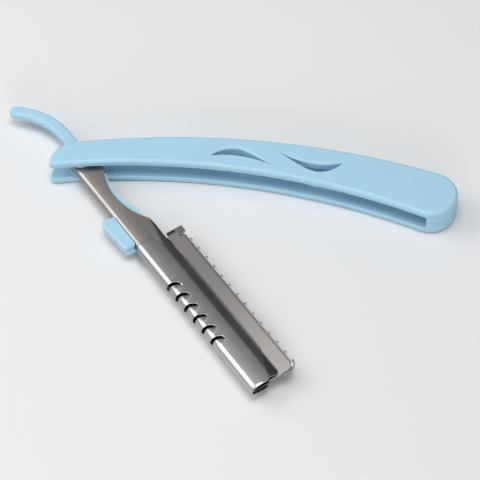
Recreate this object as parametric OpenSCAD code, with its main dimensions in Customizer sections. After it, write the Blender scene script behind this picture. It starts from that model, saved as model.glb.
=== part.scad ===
// Folding eyebrow razor. Two plastic scales make the handle. A folded sheet-steel arm turns between
// them on a hidden pin, over a plastic core that shows as the tail and the thumb rest. The arm ends
// in two jaws inside a clamp sleeve, which hold a slide-in blade with a comb guard, and a lock slide
// rides on the arm's spine. Units are millimetres.
// X runs along the handle, Y from its open front to its back, and Z is up. The pivot's axis is at
// X = Y = 0, and the underside of the lower scale is at Z = 0. The arm's own frame has the same
// origin, with x along the arm, y towards the cutting edge and z = 0 at the middle of the slot.

/* [Handle] */
// Thickness of the handle over both scales
handle_t = 10.4; // [9.8:0.1:12]
// Height of the slot between the scales
slot_t = 5.4; // [5.2:0.1:6]
// Radius of the convex back edge
back_r = 243.4; // [235:0.1:260]
// Crest of the back edge, along the handle from the pivot
back_crest_x = 30; // [28:0.5:32]
// Crest of the back edge, behind the pivot
back_crest_y = 7.3; // [6.8:0.1:7.8]
// Radius of the concave front edge
front_r = 222; // [215:1:230]
// Crest of the front edge, along the handle from the pivot
front_crest_x = 15; // [13:0.5:17]
// Crest of the front edge, in front of the pivot
front_crest_y = 3.5; // [3.2:0.1:4]
// From the back edge's crest to the start of the near round, along the handle
near_span = 32; // [30:0.5:34]
// From the back edge's crest to the start of the far round, along the handle
far_span = 85.1; // [82:0.1:88]
// Radius of the round at the near end
nose_r = 9.2; // [8.5:0.1:9.5]
// Radius of the small corner where the near round meets the front edge
heel_r = 1.4; // [1.4:0.1:2]
// Radius of the round along the outer edge of each scale
edge_r = 1.2; // [0.8:0.1:1.3]
// Width of the chamfer where the two scales meet, which leaves a fine groove
parting_edge = 0.3; // [0.1:0.05:0.5]
// Thickness of the wall that joins the scales along the back
wall_t = 2.4; // [2:0.1:2.6]
// Start of that wall, along the handle from the pivot
wall_start = 36; // [35:0.5:38]
// Depth of the slot's end past the start of the far round
slot_more = 1.5; // [1:0.1:2]

/* [Leaf cut-outs] */
// Length of one leaf along the handle
leaf_len = 22.1; // [18:0.1:24]
// Rise of a leaf's round side above its blunt tip
leaf_rise = 4.1; // [3:0.1:4.5]
// Drop of a leaf's pointed tip below its blunt tip
leaf_drop = 4.8; // [4:0.1:5.5]
// Middle of the pair of leaves, along the handle from the pivot
leaf_mid_x = 63.3; // [60:0.1:66]
// Middle of the pair of leaves, in front of the pivot
leaf_mid_y = 2.4; // [2:0.1:3]
// From that middle to a blunt tip, along the handle
leaf_reach = 21.6; // [20:0.1:23]
// From that middle to a blunt tip, across the handle
leaf_offset = 1.2; // [0.8:0.1:1.6]

/* [Pivot] */
// Diameter of the hidden pivot pin
pin_d = 3; // [2.4:0.1:3.6]
// Plastic left over each end of the pin
pin_cover = 1; // [0.8:0.1:1.2]
// Diameter of the boss inside each scale
boss_d = 7.4; // [6:0.1:8]
// Play between a boss and the arm, on each side
side_play = 0.1; // [0.05:0.01:0.2]
// Radial play of the arm's core on the pin
pin_play = 0.05; // [0.02:0.01:0.1]

/* [Scale pegs] */
// Diameter of the pegs in the back wall
peg_d = 1.2; // [1:0.1:1.4]
// Diameter of the peg in the solid far end
end_peg_d = 3; // [2:0.1:3.4]
// From the middle of the far round to that peg
end_peg_reach = 4.3; // [4:0.1:4.6]
// Length of the pegs
peg_len = 1.6; // [1.2:0.1:2]
// Play round and over a peg in its socket
peg_play = 0.05; // [0.02:0.01:0.1]
// Places of the wall pegs, as shares of the wall's length
peg_shares = [0.08, 0.5, 0.92];

/* [Folded arm] */
// Direction of the open arm from the handle's X axis, in degrees
rest_angle = -55.8; // [-60:0.1:-50]
// Thickness over the folded sheet
arm_t = 3.6; // [3.4:0.1:3.8]
// Thickness of the arm's sheet
sheet_t = 0.5; // [0.4:0.05:0.6]
// From the pivot to the outside of the arm's folded spine
spine_y = 3.9; // [3.7:0.1:4.1]
// Start of the finger notch, along the arm
neck_x = 7.2; // [6.5:0.1:8]
// Radius of the finger notch
notch_r = 23; // [22:0.5:25]
// Deepest place of the finger notch, along the arm
notch_x = 18.9; // [18:0.1:20]
// Sheet left between the pivot's line and the finger notch
notch_y = 1.1; // [0.8:0.1:1.6]
// End of the finger notch, along the arm
notch_end = 32.5; // [31.5:0.1:33]
// Height of the shoulder beyond the notch
shoulder_y = 5.9; // [5.7:0.1:6.1]
// Run of the shoulder's first slope, along the arm
shoulder_run = 2.5; // [2:0.1:3]
// End of the shoulder, along the arm
shoulder_end = 41; // [40:0.1:42]
// Start of the jaws' straight lips, along the arm
jaw_start = 44; // [43:0.1:45]
// Height of the lips' front edge
jaw_y = 6.6; // [6.4:0.1:6.8]
// End of the jaws, along the arm
jaw_end = 103.2; // [100:0.1:104]
// Corner cut off the end of each lip
jaw_corner = 1; // [0.5:0.1:1.5]
// Start of the slope from the arm's flat side down to a lip
slope_y = 3.3; // [3:0.1:3.6]
// Width of that slope
slope_run = 2.9; // [2.5:0.1:3]
// End of the slanting facet between the shoulder and the slope, along the arm
facet_end = 46; // [45:0.1:48]

/* [Core, tail and thumb rest] */
// Play between the core and the sheet round it
core_play = 0.05; // [0.02:0.01:0.1]
// Width of the tail
tail_w = 4.2; // [3.8:0.1:4.6]
// Thickness of the tail
tail_t = 3.2; // [2.8:0.1:3.4]
// Offset of the tail's straight part from the pivot's line
tail_y = 1.45; // [1.2:0.05:1.7]
// From the pivot to the tail's bend
tail_straight = 13; // [11:0.5:14]
// Radius of the tail's bend
tail_r = 22.5; // [20:0.5:25]
// Angle of the tail's bend, in degrees
tail_bend = 50; // [40:1:51]
// Radius of the thumb rest's line
rest_r = 23.3; // [22:0.1:25]
// Lowest place of the thumb rest, along the arm
rest_x = 16.9; // [16:0.1:18]
// Height of the thumb rest there
rest_y = 2.35; // [2.2:0.05:2.6]
// End of the thumb rest, along the arm
rest_end = 27.7; // [27:0.1:28.5]
// Where the rest's straight end meets the sheet, along the arm
rest_tip_x = 31.2; // [30.5:0.1:31.8]
// Height of that place
rest_tip_y = 4.8; // [4.7:0.05:5]
// Pitch of the thumb rest's fine teeth
fine_pitch = 1.4; // [1.2:0.05:1.6]
// Radius of the grooves between the fine teeth
fine_groove_r = 0.45; // [0.35:0.05:0.5]
// Where the core gives way to the lock slide, along the arm
core_step = 19; // [18.5:0.1:19.5]

/* [Lock slide] */
// Start of the thumb tab, along the arm
tab_start = 24.8; // [24:0.1:26]
// Thickness of the tab
tab_t = 3.2; // [2.8:0.1:3.6]
// From the pivot's line to the outside of the tab
tab_reach = 8.4; // [8:0.1:9]
// How much less the tab reaches out at its far end
tab_taper = 1.1; // [0.5:0.1:1.5]
// Gap between the tab's hollow side and the arm's spine
tab_gap = 0.3; // [0.25:0.05:0.4]
// How far the tab's upper and lower edges reach round the spine
tab_wrap = 0.6; // [0.4:0.05:0.65]
// Gap between the tab and the sleeve's end
tab_end_gap = 0.3; // [0.3:0.05:0.5]
// Corner cut off the tab's outer near end
tab_corner = 1.2; // [0.8:0.1:1.6]
// Length of the ledge at the foot of the tab's far end
ledge_len = 0.6; // [0.4:0.1:1]
// Thickness of that ledge
ledge_t = 1.1; // [0.8:0.1:1.5]
// Travel of the slide towards the pivot
lock_travel = 7; // [5:0.5:7]
// Length of the stem through the spine
stem_len = 4.8; // [4:0.2:6]
// Thickness of the stem
stem_t = 1.4; // [1:0.1:1.6]
// Play round the stem and the shoe
lock_play = 0.15; // [0.1:0.01:0.2]
// Height of the shoe inside the fold
shoe_h = 1.9; // [1.5:0.1:1.9]
// Length of the wedge ahead of the shoe
wedge_len = 5; // [3:0.5:6]

/* [Clamp sleeve] */
// Start of the sleeve, along the arm
sleeve_start = 39.7; // [39.5:0.1:40]
// End of the sleeve, along the arm
sleeve_end = 104.1; // [101:0.1:105]
// Thickness of the sleeve's sheet
sleeve_t = 0.4; // [0.3:0.05:0.4]
// Play between the sleeve and the jaws
sleeve_play = 0.05; // [0.02:0.01:0.08]
// Height of the flaps' straight edge
flap_y = 6.8; // [6.7:0.05:6.9]
// Height at which a flap's slanting ends begin
flap_root_y = 1.9; // [1.5:0.1:2.5]
// Length of a flap's slanting end, along the arm
flap_slant = 11.5; // [10:0.5:13]
// Number of slits across the spine
slit_count = 6; // [4:1:8]
// Place of the first slit, along the arm
slit_start = 58.7; // [56:0.1:60]
// Pitch of the slits
slit_pitch = 4.86; // [4.5:0.01:5]
// Width of a slit
slit_w = 0.5; // [0.4:0.05:0.7]
// Where the slits end, from the pivot's line towards the spine
slit_y = 0.5; // [0.4:0.1:1]
// Radius of a slit's curve, seen from above
slit_r = 5.3; // [4.5:0.1:7]
// Bow of a slit from its upper end to the spine
slit_bow = 0.9; // [0.5:0.1:1.2]
// Length of the short cut along the arm at each end of a slit
slit_turn = 1.3; // [0.8:0.1:1.6]

/* [Blade] */
// Start of the blade, along the arm
blade_start = 41.4; // [41:0.1:42]
// Length of the blade
blade_len = 62.1; // [60:0.1:62.5]
// Thickness of the blade
blade_t = 0.25; // [0.2:0.01:0.3]
// Height of the blade's back edge
blade_back = 2.4; // [2.2:0.1:2.8]
// Height of the cutting edge
blade_edge = 12.1; // [11.9:0.1:12.3]
// Width of the ground bevel
grind_w = 0.9; // [0.6:0.1:1.2]
// Corner cut off each end of the cutting edge, along the arm
blade_corner_x = 1.4; // [1:0.1:1.8]
// The same corner, across the blade
blade_corner_y = 2.4; // [2:0.1:2.6]

/* [Comb guard] */
// Thickness of the guard's sheet
guard_t = 0.3; // [0.25:0.01:0.35]
// Play between the jaws and the blade with its guard, on each side
pack_play = 0.08; // [0.05:0.01:0.1]
// Number of comb teeth
tooth_count = 13; // [11:1:13]
// Pitch of the comb teeth
tooth_pitch = 4.3; // [4.2:0.01:4.35]
// How far the comb sits from the blade's middle, towards the near end
comb_shift = 0.45; // [0.2:0.05:0.6]
// Width of a comb tooth
tooth_w = 1.5; // [1.2:0.1:1.8]
// How far a tooth stands out past the cutting edge
tooth_out = 0.65; // [0.55:0.05:0.8]
// Height of a tooth's upright rim above the guard's underside
tooth_h = 0.95; // [0.8:0.05:1.1]
// Thickness of that rim
rim_t = 0.25; // [0.2:0.05:0.3]
// Gap between the cutting edge and the teeth's rims
rim_gap = 0.12; // [0.1:0.01:0.2]
// Width of the lug at the guard's near end, along the arm
near_lug_w = 3; // [2.5:0.1:3.2]
// Overhang of that lug beyond the blade
lug_over = 1.5; // [1.2:0.1:1.8]
// Start of that lug's folded-over top, from the pivot's line
lug_top_y = 9.8; // [9:0.1:11]
// Gap between the lugs and the sleeve's flaps
lug_gap = 0.3; // [0.3:0.05:0.4]
// Outer radius of the hook at the guard's far end
hook_r = 3; // [2.6:0.1:3.4]
// Gap between the blade's end and the hook
hook_gap = 0.5; // [0.3:0.1:0.7]
// Height of the lugs above the guard's underside
lug_h = 1; // [0.8:0.1:1.2]

/* [Hidden] */
$fn = 96;

// Extra length of a cutter beyond what it cuts
over = 1;
half_t = handle_t / 2;
half_slot = slot_t / 2;
half_arm = arm_t / 2;

// Centres of the back and front arcs, and directions from the back arc's centre
back_c = [back_crest_x, back_crest_y - back_r];
front_c = [front_crest_x, -front_crest_y - front_r];
near_angle = -asin(near_span / back_r);
far_angle = asin(far_span / back_r);
wall_angle = asin((wall_start - back_crest_x) / back_r);
slot_angle = asin((far_span + slot_more) / back_r);
far_dir = ray(far_angle);
between_c = back_c - front_c;
front_on_far = -between_c * far_dir
    + sqrt(pow(between_c * far_dir, 2) - between_c * between_c + pow(front_r, 2));
end_r = (back_r - front_on_far) / 2;
end_c = back_c + (back_r - end_r) * far_dir;
end_peg_c = end_c + end_peg_reach * ray(far_angle + 90);
nose_c = back_c + (back_r - nose_r) * ray(near_angle);

front_far_angle = turn_of(end_c - end_r * far_dir - front_c);

// The small corner between the near round and the front edge
heel_c = meet(nose_c, nose_r - heel_r, front_c, front_r + heel_r);
heel_from = turn_of(front_c - heel_c);
heel_to = turn_of(heel_c - nose_c);

boss_h = half_slot - half_arm - side_play;
pin_reach = half_t - pin_cover;

// The folded sheet: middle of the fold, the lips' outside and the slope down to them
fold_y = spine_y - half_arm;
pack_half = (blade_t + guard_t) / 2 + pack_play;
lip_half = pack_half + sheet_t;
slope_angle = atan((half_arm - lip_half) / slope_run);
notch_c = [notch_x, notch_y + notch_r];
neck_y = arc_y(notch_c, notch_r, neck_x);
notch_end_y = arc_y(notch_c, notch_r, notch_end);
facet_turn = atan((slope_y - notch_end_y) / (facet_end - notch_end));
facet_angle = atan((half_arm - lip_half) / (slope_run * cos(facet_turn)));

// The core and the tail
core_half = half_arm - sheet_t - core_play;
rest_c = [rest_x, rest_y + rest_r];
rest_start = neck_x + fine_pitch;
bend_c = [-tail_straight, tail_y - tail_r];
fine_step = asin(fine_pitch / rest_r);
fine_first = asin((rest_start + fine_pitch - rest_x) / rest_r);
fine_last = asin((rest_end - fine_pitch - rest_x) / rest_r);

// The lock slide: end of the tab, the stem's slot and the shoe
tab_end = sleeve_start - tab_end_gap;
tab_inner = spine_y + tab_gap;
tab_full_x = tab_start + 2 * tab_corner;
stem_start = tab_end - stem_len - tab_corner;
shoe_half = half_arm - sheet_t - lock_play;
shoe_start = stem_start - lock_play;
shoe_end = tab_end - tab_end_gap;

// The blade and its guard, around the middle plane of the jaws
guard_low = -(blade_t + guard_t) / 2;
blade_low = guard_low + guard_t;
blade_end = blade_start + blade_len;
comb_y = blade_edge - grind_w;
comb_out = blade_edge + tooth_out;
tooth_c = comb_out - tooth_w / 2;
comb_start = blade_start + (blade_len - (tooth_count - 1) * tooth_pitch) / 2 - comb_shift;
lug_y = flap_y + lug_gap;
lug_start = blade_start - lug_over;
hook_out = blade_end + hook_gap + guard_t;
hook_c = [hook_out - hook_r, comb_out - hook_r];

// Leaf outline: control points of its three curves, as shares of its length, rise and drop
leaf_round_shares = [[0, 0], [0.08, 0.61], [0.22, 1], [0.37, 1]];
leaf_top_shares = [[0.53, 1], [0.72, -0.1]];
leaf_under_shares = [[0.74, -0.33], [0.375, 0.39]];

// Steps in one curve of a leaf, in a long arc, in a round end and in a rounded edge
leaf_steps = 10;
long_steps = 36;
round_steps = 24;
edge_steps = 3;

// Sides of the full circles whose arcs bound the slot
slot_sides = 720;

// Direction at an angle from +Y towards +X
function ray(angle) = [sin(angle), cos(angle)];

// Angle of a direction from +Y towards +X, from 0 to 360
function turn_of(v) = let (angle = atan2(v[0], v[1])) angle < 0 ? angle + 360 : angle;

// Points of an arc between two directions, without its last one
function arc(c, r, from, to, steps) =
    [for (i = [0 : steps - 1]) c + r * ray(from + (to - from) * i / steps)];

// Where two circles meet, on the side away from +X
function meet(c1, r1, c2, r2) =
    let (gap = c2 - c1, d = norm(gap), along = (pow(d, 2) + pow(r1, 2) - pow(r2, 2)) / (2 * d))
    let (aside = sqrt(pow(r1, 2) - pow(along, 2)))
    c1 + along * gap / d + aside * [gap[1], -gap[0]] / d;

// Lower side of a circle at x
function arc_y(c, r, x) = c[1] - sqrt(pow(r, 2) - pow(x - c[0], 2));

// Points on the lower side of a circle from x0 to x1
function arc_points(c, r, x0, x1) =
    [for (i = [0 : round_steps]) let (x = x0 + (x1 - x0) * i / round_steps) [x, arc_y(c, r, x)]];

// Points of a cubic curve without its last one
function curve(a, b, c, d) =
    [for (i = [0 : leaf_steps - 1]) let (t = i / leaf_steps, s = 1 - t)
        s * s * s * a + 3 * s * s * t * b + 3 * s * t * t * c + t * t * t * d];

// A place in a leaf from shares of its length and rise
function in_leaf(share) = [share[0] * leaf_len, share[1] * leaf_rise];

// Places a piece of the arm in the handle's frame
module on_arm() {
    translate([0, 0, half_t]) rotate([0, 0, rest_angle]) children();
}

// A scale's outline seen from above, moved inwards by inset
function scale_outline(inset) = concat(
    arc(back_c, back_r - inset, near_angle, far_angle, long_steps),
    arc(end_c, end_r - inset, far_angle, far_angle + 180, round_steps),
    arc(front_c, front_r + inset, front_far_angle, turn_of(heel_c - front_c) - 360, long_steps),
    arc(heel_c, heel_r - inset, heel_from, heel_to, edge_steps),
    arc(nose_c, nose_r - inset, heel_to, near_angle + 360, round_steps));

// Everything between two directions from the back arc's centre, up to radius r
module sector(from, to, r) {
    intersection() {
        circle(r, $fn = slot_sides);
        polygon([[0, 0], 2 * r * ray(from), 2 * r * ray(to)]);
    }
}

// One scale's outside, from the parting plane at z = 0 up to its rounded outer edge
module scale_body() {
    turns = [for (i = [0 : edge_steps]) 90 * i / edge_steps];
    rings = concat([scale_outline(parting_edge), scale_outline(0)],
                   [for (turn = turns) scale_outline(edge_r * (1 - cos(turn)))]);
    heights = concat([0, parting_edge], [for (turn = turns) half_t - edge_r * (1 - sin(turn))]);
    count = len(rings[0]);
    polyhedron(
        [for (k = [0 : len(rings) - 1]) for (p = rings[k]) [p[0], p[1], heights[k]]],
        concat(
            [[for (i = [count - 1 : -1 : 0]) i]],
            [[for (i = [0 : count - 1]) (len(rings) - 1) * count + i]],
            [for (k = [0 : len(rings) - 2]) for (i = [0 : count - 1]) let (next = (i + 1) % count)
                [k * count + i, k * count + next, (k + 1) * count + next, (k + 1) * count + i]]));
}

// The scale's share of the slot: open all round the pivot, and behind the back wall further on
module slot_space() {
    translate([back_c[0], back_c[1], -over]) linear_extrude(half_slot + over) {
        sector(2 * near_angle, wall_angle, back_r + 2 * nose_r);
        sector(near_angle, slot_angle, back_r - wall_t);
    }
}

// One leaf, with its blunt tip at the origin and its pointed tip towards +X
module leaf() {
    pointed = [leaf_len, -leaf_drop];
    crest = in_leaf(leaf_round_shares[3]);
    under = [leaf_under_shares[0][0] * leaf_len, leaf_under_shares[0][1] * leaf_drop];
    polygon(concat(
        curve([0, 0], in_leaf(leaf_round_shares[1]), in_leaf(leaf_round_shares[2]), crest),
        curve(crest, in_leaf(leaf_top_shares[0]), in_leaf(leaf_top_shares[1]), pointed),
        curve(pointed, under, in_leaf(leaf_under_shares[1]), [0, 0])));
}

// Both leaves, through the scale: the second is the first turned half round their middle
module leaf_cuts() {
    translate([leaf_mid_x, -leaf_mid_y, -over]) linear_extrude(half_t + 2 * over)
        for (turn = [0, 180])
            rotate(turn) translate([-leaf_reach, leaf_offset]) leaf();
}

// Places its children at each peg, with the peg's diameter in $peg
module at_pegs() {
    for (share = peg_shares) {
        $peg = peg_d;
        spot = back_c + (back_r - wall_t / 2) * ray(wall_angle + share * (far_angle - wall_angle));
        translate([spot[0], spot[1], 0]) children();
    }
    $peg = end_peg_d;
    translate([end_peg_c[0], end_peg_c[1], 0]) children();
}

// One scale with its slot, leaves, boss and blind pin socket, but no pegs
module plain_scale() {
    difference() {
        union() {
            difference() {
                scale_body();
                slot_space();
            }
            translate([0, 0, half_slot - boss_h]) cylinder(d = boss_d, h = boss_h + over);
        }
        leaf_cuts();
        translate([0, 0, -over]) cylinder(d = pin_d, h = pin_reach + over);
    }
}

module upper_scale() {
    color("lightblue") translate([0, 0, half_t]) difference() {
        plain_scale();
        translate([0, 0, -over]) at_pegs()
            cylinder(d = $peg + 2 * peg_play, h = peg_len + peg_play + over);
    }
}

module lower_scale() {
    color("lightblue") translate([0, 0, half_t]) {
        mirror([0, 0, 1]) plain_scale();
        translate([0, 0, -peg_play]) at_pegs() cylinder(d = $peg, h = peg_len + peg_play);
    }
}

module pivot_pin() {
    color("silver") translate([0, 0, pin_cover]) cylinder(d = pin_d, h = 2 * pin_reach);
}

// What lies above the slope that leads down to the lips, lowered by inset
module above_slope(inset) {
    intersection() {
        translate([facet_end, slope_y, half_arm - inset]) rotate([-slope_angle, 0, 0])
            translate([0, -arm_t, 0]) cube([2 * jaw_end, 4 * jaw_y, 2 * arm_t]);
        translate([facet_end, -spine_y, lip_half - inset]) cube([2 * jaw_end, 4 * jaw_y, 2 * arm_t]);
    }
}

// What lies above the slanting facet between the shoulder and that slope, lowered by inset
module above_facet(inset) {
    intersection() {
        translate([facet_end, slope_y, half_arm - inset]) rotate([0, 0, facet_turn])
            rotate([-facet_angle, 0, 0])
                translate([-facet_end, -arm_t, 0]) cube([2 * facet_end, 4 * jaw_y, 2 * arm_t]);
        translate([-over, -spine_y, lip_half - inset]) cube([facet_end + over, 4 * jaw_y, 2 * arm_t]);
    }
}

// The folded arm's outside from x = from to x = to, moved inwards by inset: a round spine, flat
// sides and the slopes down to the lips, which move straight towards the middle of the slot
module arm_form(inset, from, to) {
    half = half_arm - inset;
    difference() {
        union() {
            translate([from, -fold_y, 0]) rotate([0, 90, 0]) cylinder(r = half, h = to - from);
            translate([from, -fold_y, -half]) cube([to - from, fold_y + 2 * jaw_y, 2 * half]);
        }
        for (side = [0, 1]) mirror([0, 0, side]) {
            above_slope(inset);
            above_facet(inset);
        }
    }
}

// The arm's outline seen from above: a round ear, the finger notch, the shoulder and the jaws
module arm_outline() {
    polygon(concat(
        arc([0, 0], spine_y, 180, 360, round_steps),
        [[0, spine_y]],
        arc_points(notch_c, notch_r, neck_x, notch_end),
        [[notch_end + shoulder_run, shoulder_y], [shoulder_end, shoulder_y], [jaw_start, jaw_y],
         [jaw_end - jaw_corner, jaw_y], [jaw_end, jaw_y - jaw_corner], [jaw_end, -spine_y]]));
}

module folded_arm() {
    color("gray") on_arm() difference() {
        intersection() {
            arm_form(0, -2 * spine_y, jaw_end);
            translate([0, 0, -arm_t]) linear_extrude(2 * arm_t) arm_outline();
        }
        arm_form(sheet_t, -3 * spine_y, jaw_end + over);
        translate([0, 0, -arm_t]) cylinder(d = pin_d + 4 * pin_play, h = 2 * arm_t);
        translate([stem_start - lock_travel - lock_play, -spine_y - over, -stem_t / 2 - lock_play])
            cube([stem_len + lock_travel + 2 * lock_play, half_arm + over, stem_t + 2 * lock_play]);
    }
}

// The core inside the fold, seen from above, with the thumb rest along its front
module core_outline() {
    polygon(concat(
        arc([0, 0], spine_y, 180, 360, round_steps),
        [[0, spine_y], [neck_x, neck_y], [rest_start, arc_y(rest_c, rest_r, rest_start)]],
        arc_points(rest_c, rest_r, rest_start + core_play, rest_end),
        [[rest_tip_x, rest_tip_y], [notch_end - core_play, rest_tip_y],
         [notch_end - core_play, lock_play], [core_step, lock_play], [core_step, -spine_y]]));
}

// The tail seen from above: a straight neck, a bend and a round end
module tail_outline() {
    polygon(concat(
        [[0, tail_y - tail_w / 2], [0, tail_y + tail_w / 2]],
        arc(bend_c, tail_r + tail_w / 2, 0, -tail_bend, round_steps),
        arc(bend_c + tail_r * ray(-tail_bend), tail_w / 2, -tail_bend, -tail_bend - 180, round_steps),
        arc(bend_c, tail_r - tail_w / 2, -tail_bend, 0, round_steps),
        [[-tail_straight, tail_y - tail_w / 2]]));
}

module arm_core() {
    color("lightblue") on_arm() difference() {
        union() {
            intersection() {
                arm_form(sheet_t + core_play, -2 * spine_y, notch_end);
                translate([0, 0, -core_half]) linear_extrude(2 * core_half) core_outline();
            }
            translate([0, 0, -tail_t / 2]) linear_extrude(tail_t) difference() {
                tail_outline();
                circle(spine_y + core_play);
            }
            translate([0, 0, -core_half]) linear_extrude(2 * core_half) tail_outline();
        }
        translate([0, 0, -arm_t]) cylinder(d = pin_d + 2 * pin_play, h = 2 * arm_t);
        for (angle = [fine_first : fine_step : fine_last])
            translate([rest_c[0] + rest_r * sin(angle), rest_c[1] - rest_r * cos(angle), -arm_t])
                cylinder(r = fine_groove_r, h = 2 * arm_t);
    }
}

// Outer edge of the thumb tab at x, where it tapers towards its far end
function tab_edge(x) = -tab_reach + tab_taper * (x - tab_full_x) / (tab_end - tab_full_x);

// The thumb tab seen from above, with its far end at x = end
module tab_outline(end) {
    polygon([[tab_start + tab_corner / 2, tab_wrap - tab_inner], [end, tab_wrap - tab_inner],
             [end, tab_edge(end)],
             [tab_full_x, -tab_reach],
             [tab_start + tab_corner / 2, -tab_reach + tab_corner / 2],
             [tab_start, -tab_reach + 2 * tab_corner]]);
}

// The thumb tab with its ledge, the stem through the spine, and the shoe with its wedge in the fold
module lock_slide() {
    color("lightblue") on_arm() {
        difference() {
            union() {
                translate([0, 0, -tab_t / 2]) linear_extrude(tab_t) tab_outline(tab_end - ledge_len);
                translate([0, 0, -tab_t / 2]) linear_extrude(ledge_t) tab_outline(tab_end);
            }
            translate([tab_start, -fold_y, 0]) rotate([0, 90, 0])
                cylinder(r = half_arm + tab_gap, h = tab_end);
        }
        translate([stem_start, -tab_inner - over, -stem_t / 2])
            cube([stem_len, tab_inner + over - fold_y + lock_play, stem_t]);
        translate([0, -fold_y + shoe_h, 0]) rotate([90, 0, 0]) linear_extrude(shoe_h)
            polygon([[shoe_start, -shoe_half], [shoe_end, -shoe_half],
                     [shoe_end + wedge_len, -stem_t / 2], [shoe_end + wedge_len, stem_t / 2],
                     [shoe_end, shoe_half], [shoe_start, shoe_half]]);
    }
}

// The sleeve seen from above: slanting ends lead to the straight edge of its flaps
module sleeve_outline() {
    polygon([[sleeve_start, -spine_y - arm_t], [sleeve_start, flap_root_y],
             [sleeve_start + flap_slant, flap_y], [sleeve_end - flap_slant, flap_y],
             [sleeve_end, flap_root_y], [sleeve_end, -spine_y - arm_t]]);
}

// One slit with its short cuts, from above: curved across the spine, with x = 0 at its upper end
module slit() {
    difference() {
        translate([slit_r - slit_bow, -spine_y]) difference() {
            circle(slit_r);
            circle(slit_r - slit_w);
        }
        translate([slit_r - slit_bow, -spine_y - 2 * slit_r]) square([2 * slit_r, 4 * slit_r]);
        translate([-2 * slit_r, -slit_y]) square([4 * slit_r, 2 * slit_r]);
        translate([-2 * slit_r, -spine_y - arm_t - 2 * slit_r]) square([4 * slit_r, 2 * slit_r]);
    }
    translate([slit_w / 2, -slit_y - slit_w / 2]) square([slit_turn, slit_w / 2]);
}

module clamp_sleeve() {
    color("silver") on_arm() difference() {
        intersection() {
            arm_form(-sleeve_play - sleeve_t, sleeve_start, sleeve_end);
            translate([0, 0, -2 * arm_t]) linear_extrude(4 * arm_t) sleeve_outline();
        }
        arm_form(-sleeve_play, sleeve_start - over, sleeve_end + over);
        for (i = [0 : slit_count - 1])
            translate([slit_start + i * slit_pitch, 0, -arm_t]) linear_extrude(2 * arm_t) slit();
    }
}

module blade() {
    color("lightgray") on_arm() intersection() {
        translate([blade_start, 0, 0]) rotate([90, 0, 90]) linear_extrude(blade_len)
            polygon([[blade_back, blade_low], [comb_y, blade_low], [blade_edge, blade_low + blade_t / 2],
                     [comb_y, blade_low + blade_t], [blade_back, blade_low + blade_t]]);
        translate([0, 0, -arm_t]) linear_extrude(2 * arm_t)
            polygon([[blade_start, blade_back - over], [blade_start, blade_edge - blade_corner_y],
                     [blade_start + blade_corner_x, blade_edge + rim_gap],
                     [blade_end - blade_corner_x, blade_edge + rim_gap],
                     [blade_end, blade_edge - blade_corner_y], [blade_end, blade_back - over]]);
    }
}

// A comb tooth around x = 0: a tongue with a round end, and an upright rim outside the cutting edge
module comb_tooth() {
    translate([0, 0, guard_low]) {
        translate([-tooth_w / 2, comb_y - over, 0]) cube([tooth_w, tooth_c - comb_y + over, guard_t]);
        translate([0, tooth_c, 0]) cylinder(d = tooth_w, h = guard_t);
        intersection() {
            translate([0, tooth_c, 0]) difference() {
                cylinder(d = tooth_w, h = tooth_h);
                translate([0, 0, -over]) cylinder(d = tooth_w - 2 * rim_t, h = tooth_h + 2 * over);
            }
            translate([-tooth_w, blade_edge + rim_gap, 0]) cube([2 * tooth_w, tooth_w, tooth_h]);
        }
    }
}

// The lug at the blade's near end: an upright wall, folded over the blade at its outer part
module near_lug() {
    translate([lug_start, lug_y, guard_low]) {
        difference() {
            cube([near_lug_w, comb_out - lug_y, lug_h]);
            translate([guard_t, -over, guard_t])
                cube([near_lug_w, 2 * jaw_y, lug_h - 2 * guard_t]);
            translate([guard_t, -over, guard_t])
                cube([near_lug_w, lug_top_y - lug_y + over, lug_h]);
            translate([near_lug_w - lug_over, -over, -over])
                cube([near_lug_w, 2 * jaw_y, guard_t + over]);
        }
        cube([near_lug_w, comb_y - lug_y, guard_t]);
    }
}

// The upright hook that goes round the blade's far end
module far_hook() {
    translate([0, 0, guard_low]) {
        translate([hook_out - guard_t, lug_y, 0]) cube([guard_t, hook_c[1] - lug_y, lug_h]);
        translate([blade_end - over, lug_y, 0]) cube([hook_out - blade_end + over, comb_y - lug_y, guard_t]);
        translate([hook_c[0], hook_c[1], 0]) intersection() {
            difference() {
                cylinder(r = hook_r, h = lug_h);
                translate([0, 0, -over]) cylinder(r = hook_r - guard_t, h = lug_h + 2 * over);
            }
            cube([hook_r + over, hook_r + over, lug_h]);
        }
    }
}

module comb_guard() {
    color("silver") on_arm() {
        translate([blade_start, blade_back, guard_low])
            cube([blade_len, comb_y - blade_back, guard_t]);
        for (i = [0 : tooth_count - 1])
            translate([comb_start + i * tooth_pitch, 0, 0]) comb_tooth();
        near_lug();
        far_hook();
    }
}

upper_scale();
lower_scale();
pivot_pin();
arm_core();
folded_arm();
lock_slide();
clamp_sleeve();
blade();
comb_guard();
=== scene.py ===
"""Folding eyebrow razor: plastic scales, a folded steel arm on a plastic core, a clamp head with its
guarded blade, and the plain studio that shows them. Sizes are in millimetres until a piece is set
in its place, where they become metres."""

import logging
import math
from collections.abc import Callable, Iterator
from contextlib import contextmanager
from dataclasses import dataclass
from enum import Enum

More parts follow.
